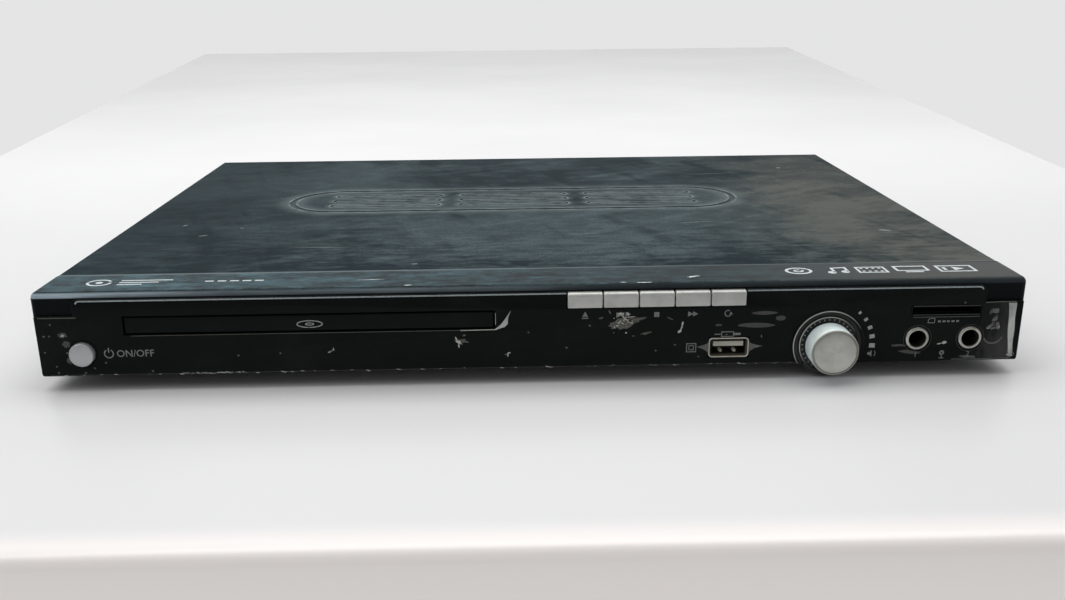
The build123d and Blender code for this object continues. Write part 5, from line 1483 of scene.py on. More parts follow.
@dataclass
class FrontPanel(Assembly):
    """The glossy panel with its printed signs, the card slot's frame, what wear has left on it and painted
    highlight lines along its edges.
    """

    edge: float = 0.32
    card_slot: Point2 = (152.1, 25.5)
    card_frame: Point2 = (26.4, 4.7)
    key_sign_z: float = 26.1
    ear_width: float = 15.2
    ear_top: float = 29.0
    edge_hook: tuple[Point2, ...] = ((0.55, 1), (0.75, 0.5), (1.2, 0.14), (1.9, 0))
    flake: tuple[tuple[Point2, Point2], ...] = (
        ((-8.5, 28.3), (-8.4, 28.3)), ((-9.7, 26.6), (-9.2, 26.5)), ((-10.9, 24.9), (-9.45, 24.9)),
        ((-12.2, 23.3), (-9.5, 23.5)), ((-13.4, 22.2), (-10.6, 22.3)), ((-14.7, 21.2), (-14.4, 21.1)))
    film_top: Point2 = (174.9, 177.8)
    film_bottom: Point2 = (176.9, 178.5)
    film_sheets: tuple[tuple[Point2, ...], ...] = (
        ((165.2, 6.6), (178.2, 6.6), (177.6, 28.9), (165.2, 28.9)),
        ((156.5, 6.6), (165.2, 6.6), (165.2, 9.6), (161.5, 9.3), (158.6, 8.4)))
    film_arcs: tuple[tuple[float, ...], ...] = (
        (170.9, 21.3, 1.3, 0.3, 60, 250, 1.5), (170.4, 15.9, 3.5, 0.6, 200, 345, 0.95),
        (170.9, 17.9, 1.5, 0.6, 10, 170, 0.5), (178.6, 8.2, 0.6, 0.3))
    film_lines: tuple[tuple[Point2, ...], ...] = (
        ((155.9, 6.55), (165, 6.5), (177.6, 6.6)), ((166.4, 28.6), (172.5, 28.8), (177.6, 28.8)))
    bubbles: Marks = marks(
        (170.5, 25.3, 2.6, 1.9, 10, 0.2), (170.6, 22.4, 1.5, 2.6, -20, 0.3),
        (168.9, 19.5, 3.4, 0.9, 42, 0.3), (171.7, 19.9, 1.3, 2.2, 10, 0.3),
        (162.0, 7.5, 6, 0.9, -4, 0.3, 0.4))
    residues: Marks = marks(
        (84.7, 26.0, 9.8, 1.4, 0, 0.04, 0.4), (90.8, 23.9, 3.8, 1.9, 0, 0.04),
        (81.8, 21.3, 14, 1.9, -1, 0.04, 0.3), (68.0, 21.6, 2.6, 0.9, 0, 0.15),
        (135.5, 12.4, 6, 0.9, 0, 0.2), (139.9, 9.7, 8.4, 1.5, -6, 0.12, 0.4),
        (-171.1, 21.9, 3.2, 2, 0, 0.3), (-170.1, 18.5, 2.4, 2.6, -30, 0.3), (-169.7, 12.1, 2, 2.4, 0, 0.3),
        (-27.2, 16.8, 1.6, 0.8, 10, 0.3), (168.9, 25.2, 2.6, 1.1, 60, 0.3), (169.6, 19.6, 2.6, 1, 50, 0.35),
        (171.4, 18.9, 2, 0.8, -40, 0.35))
    scuffs: Marks = marks(
        (32.4, 22.8, 9.6, 4, 10, 0.24), (37.3, 24.1, 7.4, 1.6, 14, 0.25, 0.5),
        (-26.6, 17.2, 4.6, 1.3, -14, 0.45), (-25.6, 19.3, 1.4, 0.6, 10, 0.3),
        (27.8, 27.3, 1.7, 0.6, -60, 0.3), (24.6, 25.1, 1.9, 0.6, 15, 0.3), (41.3, 18.9, 3.6, 0.8, 12, 0.35),
        (49.9, 24.5, 2.6, 0.45, -26, 0.2), (-74.3, 14.1, 2.4, 0.7, 24, 0.5),
        (-9.9, 11.8, 2.4, 0.6, 20, 0.2), (84.0, 17.0, 0.5, 1.4, 10, 0.3), (71.0, 17.9, 1, 0.4, 0, 0.3),
        (36.6, 17.9, 1, 0.4))
    chips: Marks = marks(
        (33.6, 24.6, 5.8, 0.42, -43, 0.12, 0.4), (31.9, 26.6, 2, 1, 0, 0.4), (34.4, 26.5, 1, 1.3, 20, 0.3),
        (35.4, 25.3, 3.4, 0.32, 4, 0.3), (31.4, 23.4, 1.6, 0.5, 50, 0.4), (30.6, 22.0, 1, 0.5, 0, 0.4),
        (29.6, 21.4, 1.1, 0.35, -50, 0.3), (36.0, 22.9, 1.2, 0.4, -40), (54.6, 22.3, 2, 0.6, 78, 0.1),
        (54.3, 20.8, 1.7, 0.5, 65, 0.1), (53.6, 19.4, 1.7, 0.9, 40, 0.2), (152.4, 13.2, 1.9, 1.1, 14, 0.15),
        (150.6, 12.8, 2, 0.5, 10, 0.2, 0.5), (-73.6, 14.9, 1.3, 0.4, 80, 0.4),
        (-75.1, 13.7, 0.9, 0.35, 10, 0.3), (-9.2, 12.2, 1.3, 0.5, 8, 0.3), (-9.7, 11.4, 0.5, 1.4, 0, 0.3),
        (-27.7, 16.7, 2.8, 1, -38, 0.4), (-28.6, 18.2, 1.2, 0.5, -60, 0.3), (-27.6, 15.3, 0.6, 1.4, 0, 0.3),
        (33.9, 19.2, 0.7, 0.5), (-171.0, 21.8, 1.2, 0.8, 0, 0.4), (168.6, 18.8, 1.5, 0.7, 30, 0.3),
        (172.2, 19.0, 0.7, 0.9, 0, 0.3), (176.8, 8.0, 0.8, 0.5))
    specks: tuple[Point2, ...] = (
        (-174.9, 26.0), (-177.7, 21.6), (-175.8, 21.6), (-178.2, 15.4), (-174.7, 9.8), (-174.3, 7.4),
        (-164.5, 7.2), (-156.7, 11.0), (-140.1, 7.5), (-108.3, 13.0), (-93.0, 13.6), (-161.0, 9.0),
        (-170.2, 15.2), (45.0, 12.0), (52.0, 14.2), (61.0, 9.4), (20.4, 22.2), (12.0, 13.8), (-2.0, 20.0),
        (158.6, 28.6))

    def build(self) -> None:
        """Adds the panel's pieces."""
        self.add("panel_gloss", refined("fascia", self.edge, 40, 3), "fascia_plastic",
                 stands_for=("fascia",))
        self.signs()
        self.card_surround()
        self.blemishes()
        self.edge_lines()
        self.left_film()
        self.torn_film()
        self.chipped_foot()

    def blemishes(self) -> None:
        """Glue residues, rubbed patches and bright chips on the panel."""
        spots = tuple(Mark(px, pz, 0.8, 0.7, 0.0, 0.35) for px, pz in self.specks)
        for name, finish, rise, worn_places in (("panel_residues", "glue_residue", 0.015, self.residues),
                                                ("panel_scuffs", "scuff", 0.015, self.scuffs + spots),
                                                ("panel_chips", "bare_chip", 0.03, self.chips)):
            worn = Print(Side.FRONT, 0, rise)
            worn.blots(worn_places)
            if worn_places is self.chips:
                self.bright_nicks(worn)
            self.add_print(name, worn, finish)

    def bright_nicks(self, worn: Print) -> None:
        """Bright lines at the door's right end, the upright one a painted highlight of the door's right edge,
        and small flakes under the second key.

        Args:
            worn: the print that gets them.
        """
        door = Room.of("tray_door")
        right, foot = door.high.x + 0.85, door.low.z - 0.8
        worn.stroke([(right - 13, foot - 0.1), (right - 5, foot), (right + 0.4, foot)], 0.3)
        # painted highlight along the door's right edge
        worn.stroke([(right, door.low.z + 1), (right, door.high.z - 0.4)], 0.16)
        dice, patch = random.Random(5), 32.6
        for _ in range(26):
            px, size = dice.gauss(patch, 2.6), dice.uniform(0.25, 0.75)
            worn.blot(Mark(px, 23.4 + (px - patch) * 0.2 + dice.gauss(0.0, 1.1), size, size * 0.55,
                           dice.uniform(-60, 60), 0.35))

    def edge_lines(self) -> None:
        """A painted highlight line along the panel's upper edge, and faint painted highlight lines at its
        ear, foot and door.
        """
        panel, door, rise = Room.of("fascia"), Room.of("tray_door"), 0.012
        top, shoulder, foot = panel.high.z - 0.62, self.ear_top - 0.5, panel.low.z + 0.42
        # painted highlights: a bright line and faint lines where the panel's edges catch the light
        line, dim = Print(Side.FRONT, 0, rise), Print(Side.FRONT, 0, rise)
        for end, way, key in ((panel.low.x, 1, Room.of("eject_key").low.x - 0.5),
                              (panel.high.x, -1, Room.of("reset_key").high.x + 0.5)):
            bend = end + way * self.ear_width
            line.stroke([(bend + way * out, top - drop) for out, drop in self.edge_hook] + [(key, top)], 0.55)
        self.add_print("panel_edge_line", line, "polished_edge")
        under_door = door.low.z - 0.85
        for x0, z0, x1, z1, width in (
                (panel.low.x + 1.5, shoulder, panel.low.x + self.ear_width, shoulder, 0.36),
                (panel.low.x + 3, foot, -140, foot - 0.02, 0.12), (-140, foot, 98, foot, 0.13),
                (door.low.x + 2, under_door, door.high.x - 12, under_door, 0.2)):
            dim.stroke([(x0, z0), (x1, z1)], width)
        self.add_print("panel_dim_lines", dim, "ear_line")

    def left_film(self) -> None:
        """Shipping film that was never peeled: a hazy sheet at the right end, with bubbles and creases."""
        sheet, creases = Print(Side.FRONT, 0, 0.008), Print(Side.FRONT, 0, 0.05)
        for outline in self.film_sheets:
            sheet.polygon(outline)
        self.add_print("film_sheet", sheet, "film_haze")
        for arc in self.film_arcs:
            creases.arc(*arc)
        creases.blots(self.bubbles)
        for line in self.film_lines:
            creases.stroke(line, 0.3)
        port = Room.of("usb_shell").middle
        for sign, reach, drop in ((-1, 11.9, 0.4), (1, 12.6, 0.3)):
            x0 = port.x + sign * 7.3
            tongue = [(x0, port.z + 2.4), (x0 + sign * 0.9, port.z + 1.5), (x0 + sign * 2.6, port.z + 0.9),
                      (port.x + sign * reach, port.z + drop), (x0 + sign * 2.4, port.z - 0.4),
                      (x0 + sign * 0.8, port.z - 1.4), (x0, port.z - 2.4)]
            creases.polygon(tongue[::int(sign)])
        self.add_print("film_creases", creases, "film_crease")

    def signs(self) -> None:
        """Signs for the keys, the switch, the sockets and the knob."""
        ink, switch = Print(Side.FRONT, 0), Print(Side.FRONT, 0)
        self.key_signs(ink)
        self.socket_signs(ink)
        self.add_print("panel_signs", ink, "faded_ink")
        power = Room.of("power_button").middle
        x, z = power.x + 9.5, power.z
        switch.arc(x, z, 1.6, 0.38, 122, 418)
        switch.dash(x, z + 1.3, 0.9, 0.38, True)
        switch.words("ON/OFF", x + 9.6, z, 2.6)
        self.add_print("switch_signs", switch, "switch_ink")

    def key_signs(self, ink: Print) -> None:
        """The five keys' signs, under the keys.

        Args:
            ink: the print that gets them.
        """
        eject, play, stop, scan, reset = (Room.of(name + "_key").middle.x for name in KEY_NAMES)
        z = self.key_sign_z
        ink.arrow(eject, z + 0.35, 2.1, 90)
        ink.dash(eject, z - 1, 1.15, 0.45)
        ink.arrow(play - 0.9, z, 2.2)
        for side in (1, 1.9):
            ink.dash(play + side, z, 1.05, 0.45, True)
        ink.dash(stop, z, 0.95, 1.9)
        for side in (-0.9, 0.9):
            ink.arrow(scan + side, z, 2)
        ink.arc(reset, z, 1.15, 0.36, 60, 350)
        ink.arrow(reset + 1.05, z - 0.1, 1.3, 100)

    def socket_signs(self, ink: Print) -> None:
        """The signs by the port, card slot, microphone sockets and knob.

        Args:
            ink: the print that gets them.
        """
        port = Room.of("usb_shell").middle
        z = port.z + 5.2
        ink.frame(port.x - 0.6, z, 4.4, 1.8, 0.3)
        ink.dash(port.x + 2.95, z, 1.25, 0.9)
        ink.dash(port.x - 4.3, z, 1.1, 0.35)
        for wide, tall, line in ((3.4, 3.2, 0.32), (1.7, 1.6, 0.3)):
            ink.frame(port.x - 13.9, port.z + 0.1, wide, tall, line)
        x, z = self.card_slot[0] - 5.3, self.card_slot[1] - 3.6
        ink.stroke([(x - 1.2, z - 0.85), (x + 1.2, z - 0.85), (x + 1.2, z + 0.85), (x - 0.5, z + 0.85),
                    (x - 1.2, z + 0.25)], 0.28, True)
        for step in range(5):
            ink.dash(x + 2.95 + step * 1.7, z - 0.35, 0.55, 0.7)
        jacks = sorted(room.middle.x for room in loose_rooms("jack_rings"))
        middle, low = sum(jacks) / 2, Room.of("jack_rings").middle.z - 6.7
        ink.arc(middle, low + 0.9, 0.62, 0.62)
        ink.dash(middle, low - 0.5, 0.7, 0.35, True)
        ink.dash(middle, low - 1.2, 0.9, 0.3)
        for number, x in enumerate(jacks, 1):
            ink.words(str(number), x, low + 0.4, 1.9)
        knob = Room.of("knob_ring").middle.x + 16.2
        ink.polygon([(knob - 1.3, 8.9), (knob - 0.5, 8.9), (knob + 0.3, 8.1), (knob + 0.3, 10.7),
                     (knob - 0.5, 9.9), (knob - 1.3, 9.9)])
        ink.arc(knob + 0.1, 9.4, 1.5, 0.28, -42, 42)

    def card_surround(self) -> None:
        """A low raised frame round the card slot, with faint painted highlight lines along it and faint rings
        round the sockets.
        """
        (x, z), (wide, tall) = self.card_slot, (side / 2 for side in self.card_frame)
        outlines = [rounded_box(x - wide + rim, x + wide - rim, z - tall + rim, z + tall - rim, corner)
                    for rim, corner in ((0, 0.7), (0.45, 0.4))]
        self.add("card_frame", plate("card_frame", outlines, 0.34, 0.12, Side.FRONT, 0.04), "fascia_plastic")
        # painted highlights along the frame's edges, in the residue's ink, and faint rings round the sockets
        faint = Print(Side.FRONT, -0.28, 0.06)
        for rise, width in ((-tall + 0.22, 0.34), (-1.25, 0.2), (tall - 0.22, 0.2)):
            faint.dash(x, z + rise, wide - 0.8, width)
        for room in loose_rooms("jack_rings"):
            faint.arc(room.middle.x, room.middle.z, 5.2, 0.14)
        self.add_print("card_frame_lines", faint, "glue_residue")

    def torn_film(self) -> None:
        """Left-overs of the shipping film: a curled flake at the door and a folded edge at the right end."""
        curl, fold = [], []
        for i, (left, right) in enumerate(self.flake):
            lift = 0.06 + 0.5 * sin(pi * i / (len(self.flake) - 1))
            curl.append([Vector((left[0], -lift, left[1])), Vector((right[0], -0.04, right[1])),
                         Vector((right[0], 0, right[1])), Vector((left[0], -lift + 0.05, left[1]))])
        (top0, top1), (bottom0, bottom1), steps = self.film_top, self.film_bottom, 12
        for i in range(steps + 1):
            t = i / steps
            x0 = top0 + (bottom0 - top0) * t + 0.16 * sin(9 * t)
            x1 = top1 + (bottom1 - top1) * t + 0.12 * sin(14 * t + 1)
            z, rise = 28.3 - 21 * t, 0.10 + 0.08 * sin(11 * t)
            fold.append([Vector((px, depth, z)) for px, depth in (
                (x0, 0), (x0 + 0.1, -rise), ((x0 + x1) / 2, -rise - 0.1), (x1, -0.05), (x1, 0))])
        for name, rows, finish, sharp in (("film_flake", curl, "film_white", 38),
                                          ("film_edge", fold, "film_grey", 60)):
            bm = bmesh.new()
            skin(bm, rows)
            self.add(name, settle(bm, name, sharp), "fascia_plastic", finish=finish)

    def chipped_foot(self) -> None:
        """Pale torn chips along the panel's foot, dense at its left and sparse over the rest."""
        chips, z = fleck_pattern(), Room.of("fascia").low.z + 0.36
        for name, count, start, end, scatter, large, share, seed in (
                ("foot_chips", 46, -130.0, -107.4, (0.25, 0.01, 0.3), (1.3, 0.55, 0.1), 0.72, 4),
                ("foot_flecks", 150, -176.0, 98.0, (1.0, 0.01, 0.2), (2.2, 0.42, 0.10), 0.36, 9)):
            mesh = chips.grow(name, Count=count, Start=(start, -0.01, z), End=(end, -0.01, z),
                              Scatter=scatter, Small=(0.25, 0.12, 0.04), Large=large, Share=share,
                              Seed=seed, Finish=self.shelf["chip_pale"])
            self.add(name, mesh, "fascia_plastic", finish="chip_pale")


@dataclass
class Keys(Assembly):
    """The row of keys and the round switch button, with eased edges."""

    edge: float = 0.45
    button_edge: float = 0.4

    def build(self) -> None:
        """Adds the keys and the button."""
        for name in KEY_NAMES:
            node = name + "_key"
            self.add(node + "_cap", refined(node, self.edge, 40, 3), "key_plastic", node, (node,))
        self.add("switch_cap", refined("power_button", self.button_edge, 40, 3), "button_plastic",
                 Body.POWER, ("power_button",))


@dataclass
class VolumeControl(Assembly):
    """The turned knob in its dish, with the ticks round it and the marks that grow with the volume."""

    wall_radius: float = 7.5
    hub_radius: float = 4.6
    well_depth: float = -7.0
    chamfer: float = 0.5
    dish_ticks: int = 32
    tick_radius: float = 9.6
    mark_radius: float = 16.4
    rim_inner: float = 11.05
    chin_radius: float = 12.1
    dish_floor: float = 0.5

    def build(self) -> None:
        """Adds the knob, its dish and its marks."""
        self.knob()
        self.dish()
        self.scales()

    def knob(self) -> None:
        """The satin shell and its turned face."""
        shell, cap, shaft = Room.of("volume_knob"), Room.of("knob_cap"), Room.of("pot_shaft")
        x, z = shell.middle.x, shell.middle.z
        radius, front, back = shell.size.x / 2, shell.low.y, shell.high.y
        face, bore, well, edge = cap.size.x / 2 + 0.05, shaft.size.x / 2, self.well_depth, self.chamfer
        rim = radius - edge
        turned = [(0, cap.high.y), (face, cap.high.y), (face, front + 0.12), (face + 0.05, front),
                  (rim - 0.05, front), (rim + 0.12, front + 0.06), (radius - 0.1, front + edge - 0.1),
                  (radius, front + edge + 0.15), (radius, back - 0.2), (radius - 0.2, back),
                  (self.wall_radius, back), (self.wall_radius, well), (self.hub_radius, well),
                  (self.hub_radius, back), (bore, back), (bore, well), (0, well)]
        wide, low = cap.size.x / 2, cap.low.y
        flat = [(0, low + 0.05), (wide * 0.5, low + 0.03), (wide - 0.35, low), (wide - 0.1, low + 0.08),
                (wide, low + 0.2), (wide, cap.high.y), (0, cap.high.y)]
        for name, profile, slot, node in (("knob_shell", turned, "knob_metal", "volume_knob"),
                                          ("knob_face", flat, "spun_face", "knob_cap")):
            self.add(name, settle(lathe(profile, x, z), name, 30), slot, Body.VOLUME, (node,))

    def dish(self) -> None:
        """The black dish between two thin rims; its middle hangs below the panel's foot."""
        ring, foot = Room.of("knob_ring"), Room.of("fascia").low.z
        x, z = Room.of("volume_knob").middle.x, Room.of("volume_knob").middle.z
        outer, back, floor, chin = ring.size.x / 2, ring.high.y, self.dish_floor, self.chin_radius
        rim, span = self.rim_inner, (x - 20, x + 20, -5, 5)

        def part(profile: Sequence[Point2], low: float = -20.0, high: float = foot) -> Shape:
            """A turned ring without what lies between two heights."""
            return cut_by(lathe(profile, x, z, loop=True), box_mesh(*span, low, high))

        well = [(rim - 0.7, -0.05), (rim - 0.8, 0.2), (rim - 0.95, floor), (3.1, floor), (3.1, back)]
        bowl = part([(outer, back), (outer, -0.3), (outer - 0.15, -0.45), (outer - 0.5, -0.45),
                     (outer - 0.75, 0.1), (outer - 1.1, floor), (rim + 0.25, floor), (rim + 0.1, 0.1),
                     (rim - 0.1, -0.1), *well])
        boss = part([(chin, back), (chin, 0.15), (chin - 0.1, -0.05), (chin - 0.35, -0.18), (11.3, -0.18),
                     *well], foot, 60)
        self.add("knob_dish", settle(merge(bowl, boss), "knob_dish", 34), "black_plastic")
        rims = part([(outer - 0.1, -0.3), (outer - 0.14, -0.46), (outer - 0.2, -0.5), (outer - 0.42, -0.5),
                     (outer - 0.5, -0.46), (outer - 0.54, -0.3)])
        inner = part([(rim - 0.12, -0.05), (rim - 0.16, -0.17), (rim - 0.24, -0.2), (rim - 0.42, -0.2),
                      (rim - 0.5, -0.17), (rim - 0.54, -0.05)])
        self.add("knob_rims", settle(merge(rims, inner), "knob_rims", 40), "ring_chrome",
                 stands_for=("knob_ring",), finish="worn_rims")

    def scales(self) -> None:
        """Fine ticks in the dish and five marks to the right of it."""
        middle, arcs, count = Room.of("volume_knob").middle, arc_pattern(), self.dish_ticks
        for name, number, radius, start, sweep, block, growth, level, finish in (
                ("dish_ticks", count, self.tick_radius, 0.0, 360.0 * (1 - 1 / count), (0.8, 0.34, 0.06), 0.0,
                 self.dish_floor, "tick_ink"),
                ("volume_marks", 5, self.mark_radius, 48.5, -50.5, (1.15, 0.9, 0.05), 0.22, 0.0,
                 "printed_ink")):
            mesh = arcs.grow(name, Count=number, Radius=radius, Start=radians(start),
                             Sweep=radians(sweep), Block=block, Growth=growth,
                             Centre=(middle.x, level, middle.z), Finish=self.shelf[finish])
            self.add(name, mesh, "fascia_plastic", finish=finish)


@dataclass
class Sockets(Assembly):
    """The port's flared steel shell and the microphone sockets' ferrules."""

    sections: tuple[tuple[float, float, float, float], ...] = (
        (14, 6.6, 2.95, 0.5), (0.9, 6.6, 2.95, 0.5), (0.45, 6.75, 3.1, 0.8), (0.15, 7.2, 3.55, 1.1),
        (-0.05, 7.5, 3.85, 1.35), (-0.2, 7.42, 3.77, 1.3), (-0.19, 7.12, 3.47, 1.1), (0.12, 6.8, 3.15, 0.85),
        (0.6, 6.3, 2.65, 0.45), (1, 6.2, 2.55, 0.3), (13.6, 6.2, 2.55, 0.3))
    spring_place: tuple[float, float, float] = (2.6, 3.4, -2.05)
    spring_size: tuple[float, float, float] = (0.8, 1.9, 0.62)
    bore: float = 3.2

    def build(self) -> None:
        """Adds the port's shell, two bright contact springs on its floor, and the ferrules."""
        middle = Room.of("usb_shell").middle
        shell, springs = bmesh.new(), bmesh.new()
        skin(shell, [[Vector((px, depth, pz)) for px, pz in rounded_box(
            middle.x - wide, middle.x + wide, middle.z - tall, middle.z + tall, corner, 4)]
            for depth, wide, tall, corner in self.sections])
        self.add("port_shell", settle(shell, "port_shell", 32), "socket_steel", stands_for=("usb_shell",),
                 finish="port_steel")
        side, depth, drop = self.spring_place
        for sign in (-1, 1):
            place = Matrix.Translation((middle.x + sign * side, depth, middle.z + drop))
            bmesh.ops.create_uvsphere(springs, u_segments=20, v_segments=12, radius=1,
                                      matrix=place @ Matrix.Diagonal((*self.spring_size, 1)))
        self.add("port_springs", settle(springs, "port_springs"), "socket_steel", finish="spring_steel")
        self.ferrules()

    def ferrules(self) -> None:
        """The bright rings round the microphone sockets."""
        rooms = loose_rooms("jack_rings")
        long, wide, bore = rooms[0].size.y, rooms[0].size.x / 2, self.bore
        shape = upright([(wide, 0), (wide, long - 0.75), (wide - 0.12, long - 0.3),
                         (wide - 0.4, long - 0.05), (wide - 0.7, long), (bore + 0.12, long - 0.1),
                         (bore + 0.03, long - 0.3), (bore, long - 0.6), (bore, 0)], 56, True)
        places = [Vector((room.middle.x, room.high.y, room.middle.z)) for room in rooms]
        self.add_copies("jack_ferrules", shape, places, [(0, -1, 0)], "ring_chrome", ("jack_rings",),
                        sharp=50)


@dataclass
class TrayUnit(Assembly):
    """The disc tray and its door."""

    edge: float = 0.25
    sign_drop: float = 0.5
    sign_rings: tuple[Point2, ...] = ((4.6, 0.32), (1.5, 0.28))
    sign_flat: float = 0.28

    def build(self) -> None:
        """Adds the tray, the door and the door's sign."""
        self.add("tray_moulding", refined("disc_tray", self.edge, 50), "mechanism_plastic", Body.TRAY,
                 ("disc_tray",))
        self.add("door_panel", refined("tray_door", self.edge), "fascia_plastic", Body.TRAY, ("tray_door",))
        door = Room.of("tray_door")
        ink = Print(Side.FRONT, door.low.y)
        for radius, width in self.sign_rings:
            ink.arc(door.middle.x, door.middle.z - self.sign_drop, radius, width, flat=self.sign_flat)
        self.add_print("door_sign", ink, "printed_ink", body=Body.TRAY)


@dataclass
class Rear(Assembly):
    """The connectors on the back, with coloured cores, bright pins and small plain signs."""

    sleeve_wall: float = 0.65
    core_bore: float = 1.6
    pin_radius: float = 1.23
    pin_spread: float = 4.3
    pin_depth: float = 260.0

    def build(self) -> None:
        """Adds the rear's pieces."""
        rooms = loose_rooms("rca_shells")
        self.connectors(rooms)
        self.pins()
        self.rear_signs(rooms)

    def connectors(self, rooms: Sequence[Room]) -> None:
        """The bright sleeves and their coloured cores: stereo pairs, picture outputs and a digital one.

        Args:
            rooms: the room of each connector, from left to right and then upwards.
        """
        long, wide, bore = rooms[0].size.y, rooms[0].size.x / 2, self.core_bore
        inner, rearward = wide - self.sleeve_wall, [(0, 1, 0)]
        sleeve = upright([(wide, 0), (wide, long - 0.35), (wide - 0.12, long - 0.1), (wide - 0.3, long),
                          (inner + 0.15, long), (inner, long - 0.2), (inner, 0)], 40, True)
        places = [Vector((room.middle.x, room.low.y, room.middle.z)) for room in rooms]
        self.add_copies("connector_sleeves", sleeve, places, rearward, "socket_steel", ("rca_shells",),
                        sharp=50)
        columns = sorted({round(place.x) for place in places})
        middle_z = (places[0].z + places[1].z) / 2
        chosen: dict[str, list[Vector]] = {"white": [], "red": [], "yellow": [], "orange": []}
        for place in places:
            column = columns.index(round(place.x))
            pair = "white" if place.z > middle_z else "red"
            chosen[pair if column < 2 else ("yellow" if column == 2 else "orange")].append(place)
        for colour, own in chosen.items():
            core = upright([(inner, 0), (inner, long - 0.95), (inner - 0.2, long - 0.7),
                            (bore + 0.5, long - 0.7), (bore, long - 1.1), (bore, 0)], 32, True)
            self.add_copies("connector_cores_" + colour, core, own, rearward, "black_plastic",
                            finish="core_" + colour)

    def pins(self) -> None:
        """The mains socket's two bright pins."""
        middle, radius = Room.of("mains_inlet").middle, self.pin_radius
        shape = upright([(0, 0), (radius, 0), (radius, 8.4), (radius * 0.8, 8.9), (radius * 0.4, 9.12),
                         (0, 9.15)], 24)
        places = [Vector((middle.x + sign * self.pin_spread, self.pin_depth, middle.z))
                  for sign in (-1, 1)]
        self.add_copies("mains_pins", shape, places, [(0, 1, 0)], "ring_chrome")

    def rear_signs(self, rooms: Sequence[Room]) -> None:
        """Plain printed brackets and lines that group the connectors.

        Args:
            rooms: the room of each connector.
        """
        ink = Print(Side.REAR, Room.of("top_cover").high.y)
        low = Room.of("rca_block").low.z - 1.6
        columns = sorted({round(room.middle.x) for room in rooms})
        for first, last in (columns[:2], (columns[2], columns[2])):
            left, right = first - 4.5, last + 4.5
            ink.stroke([(left, low + 0.9), (left, low), (right, low), (right, low + 0.9)], 0.4)
        inlet = Room.of("mains_inlet")
        x, z = inlet.high.x + 7, inlet.middle.z
        ink.stroke([(x + 0.4 * i - 2.4, z + 0.9 * sin(0.4 * i * 1.3)) for i in range(13)], 0.4)
        self.add_print("rear_signs", ink, "printed_ink", "case_steel")


@dataclass
class Carried:
    """CAD nodes that keep their own shape and get their slot's finish."""

    shelf: FinishShelf

    def build(self) -> None:
        """Dresses every CAD node by its slot."""
        for row in frame["record"]["subparts"]:
            node, finish = frame["nodes"][row["node"]], self.shelf[row["material_slot"]]
            if not node.material_slots:
                node.data.materials.append(finish)
            for place in node.material_slots:
                place.material = finish
            log.info("node %s: %s", row["node"], row["material_slot"])


# Stage

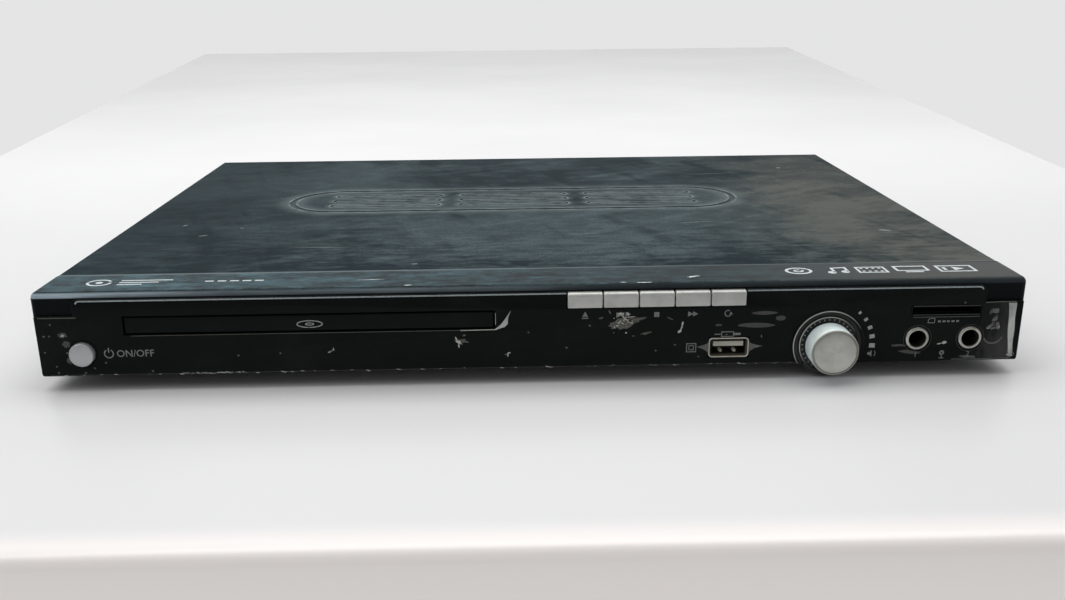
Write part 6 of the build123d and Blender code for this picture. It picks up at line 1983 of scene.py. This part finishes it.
@dataclass
class Studio:
    """The camera where the photographer stood, a glossy white table, a pale wall and soft light."""

    place: tuple[float, float, float] = (-8.426, -491.671, 146.133)
    yaw: float = 1.2862
    pitch: float = 17.6466
    roll: float = -0.5669
    lens: float = 34.930
    table_outline: tuple[Point2, ...] = (
        (-364.8, -113.5), (364.3, -116.8), (545.0, 1709.8), (-592.8, 1702.6))
    table_thickness: float = 30.0
    sky: tuple[Point2, ...] = ((0.0, 0.78), (0.10, 0.77), (0.42, 0.64), (0.77, 0.47), (1.0, 0.45))
    room_behind: float = 0.37
    lights: tuple[tuple, ...] = (
        ("overhead_light", (0.0, 110.0, 1300.0), (0.0, 110.0, 0.0), (2.2, 0.95), 14.2),
        ("left_light", (-900.0, -500.0, 900.0), (0.0, 0.0, 0.0), (0.7, 0.7), 2.5),
        ("back_light", (0.0, 1200.0, 1800.0), (0.0, 300.0, 0.0), (2.0, 2.0), 5.5),
        ("edge_light", (0.0, -640.0, -270.0), (0.0, -257.0, -18.0), (1.3, 0.3), 1.25))

    def build(self) -> None:
        """Adds the camera, the table, the wall and the lights: overhead, left, far side, table's edge."""
        self.camera()
        self.table()
        self.world()
        for light in self.lights:
            self.soft_light(*light)

    def camera(self) -> None:
        """The camera, fitted to the photograph's corners of the case."""
        data = bpy.data.cameras.new("photo_camera")
        data.sensor_fit, data.sensor_width, data.lens = "HORIZONTAL", 36.0, self.lens
        data.clip_start, data.clip_end = 0.01, 20.0
        holder = put("photo_camera", data)
        holder.matrix_world = Matrix.Translation(Vector(self.place) * MM)
        for angle, axis in ((-self.yaw, "Z"), (90.0 - self.pitch, "X"), (self.roll, "Z")):
            holder.matrix_world @= Matrix.Rotation(radians(angle), 4, axis)
        bpy.context.scene.camera = holder

    def table(self) -> None:
        """The table top, wider towards the back, with a rounded front edge."""
        thick = self.table_thickness
        mesh = plate("table_top", [self.table_outline], thick, 5.0, Side.TOP, -thick, True)
        mesh.materials.append(TablePlate().build())
        put("table_top", mesh)

    def world(self) -> None:
        """The pale wall all round, as the sky's colour."""
        world = bpy.data.worlds.new("pale_wall")
        world.use_nodes = True
        tree = world.node_tree
        way = add_node(tree, "ShaderNodeTexCoord", {}, {})
        split = add_node(tree, "ShaderNodeSeparateXYZ", {}, {0: way.outputs["Generated"]})
        ramp = add_node(tree, "ShaderNodeValToRGB", {}, {0: split.outputs["Z"]})
        dim = add_node(tree, "ShaderNodeMapRange", {}, {
            0: split.outputs["Y"], 1: -0.8, 2: 0.2, 3: self.room_behind, 4: 1.0})
        while len(ramp.color_ramp.elements) < len(self.sky):
            ramp.color_ramp.elements.new(0.5)
        for element, (position, level) in zip(ramp.color_ramp.elements, self.sky):
            element.position, element.color = position, (level, level, level * 1.01, 1.0)
        for source, name in ((ramp, "Color"), (dim, "Strength")):
            tree.links.new(source.outputs[0], tree.nodes["Background"].inputs[name])
        bpy.context.scene.world = world
        bpy.context.scene.view_settings.view_transform = "Standard"

    def soft_light(self, name: str, place: Sequence[float], aim: Sequence[float], size: tuple[float, float],
                   power: float) -> None:
        """One area light.

        Args:
            name: its name.
            place: where it hangs, in millimetres.
            aim: the point that it faces.
            size: its sides in metres, the first along X.
            power: its power in watts.
        """
        data = bpy.data.lights.new(name, "AREA")
        data.shape, data.size, data.size_y, data.energy = "RECTANGLE", size[0], size[1], power
        holder = put(name, data)
        way = Vector(aim) - Vector(place)
        turn = way.to_track_quat("-Z", "Y").to_matrix().to_4x4()
        holder.matrix_world = Matrix.Translation(Vector(place) * MM) @ turn


def main() -> None:
    """Builds the player's pieces in order, then the studio."""
    knob = Room.of("volume_knob").middle
    shelf = FinishShelf((knob.x, knob.z))
    copier = Copier()
    Carried(shelf).build()
    for assembly in (Housing, FrontPanel, Keys, VolumeControl, Sockets, TrayUnit, Rear):
        log.info("building %s", assembly.__name__)
        assembly(shelf, copier).build()
    Studio().build()


if __name__ == "__main__":
    main()
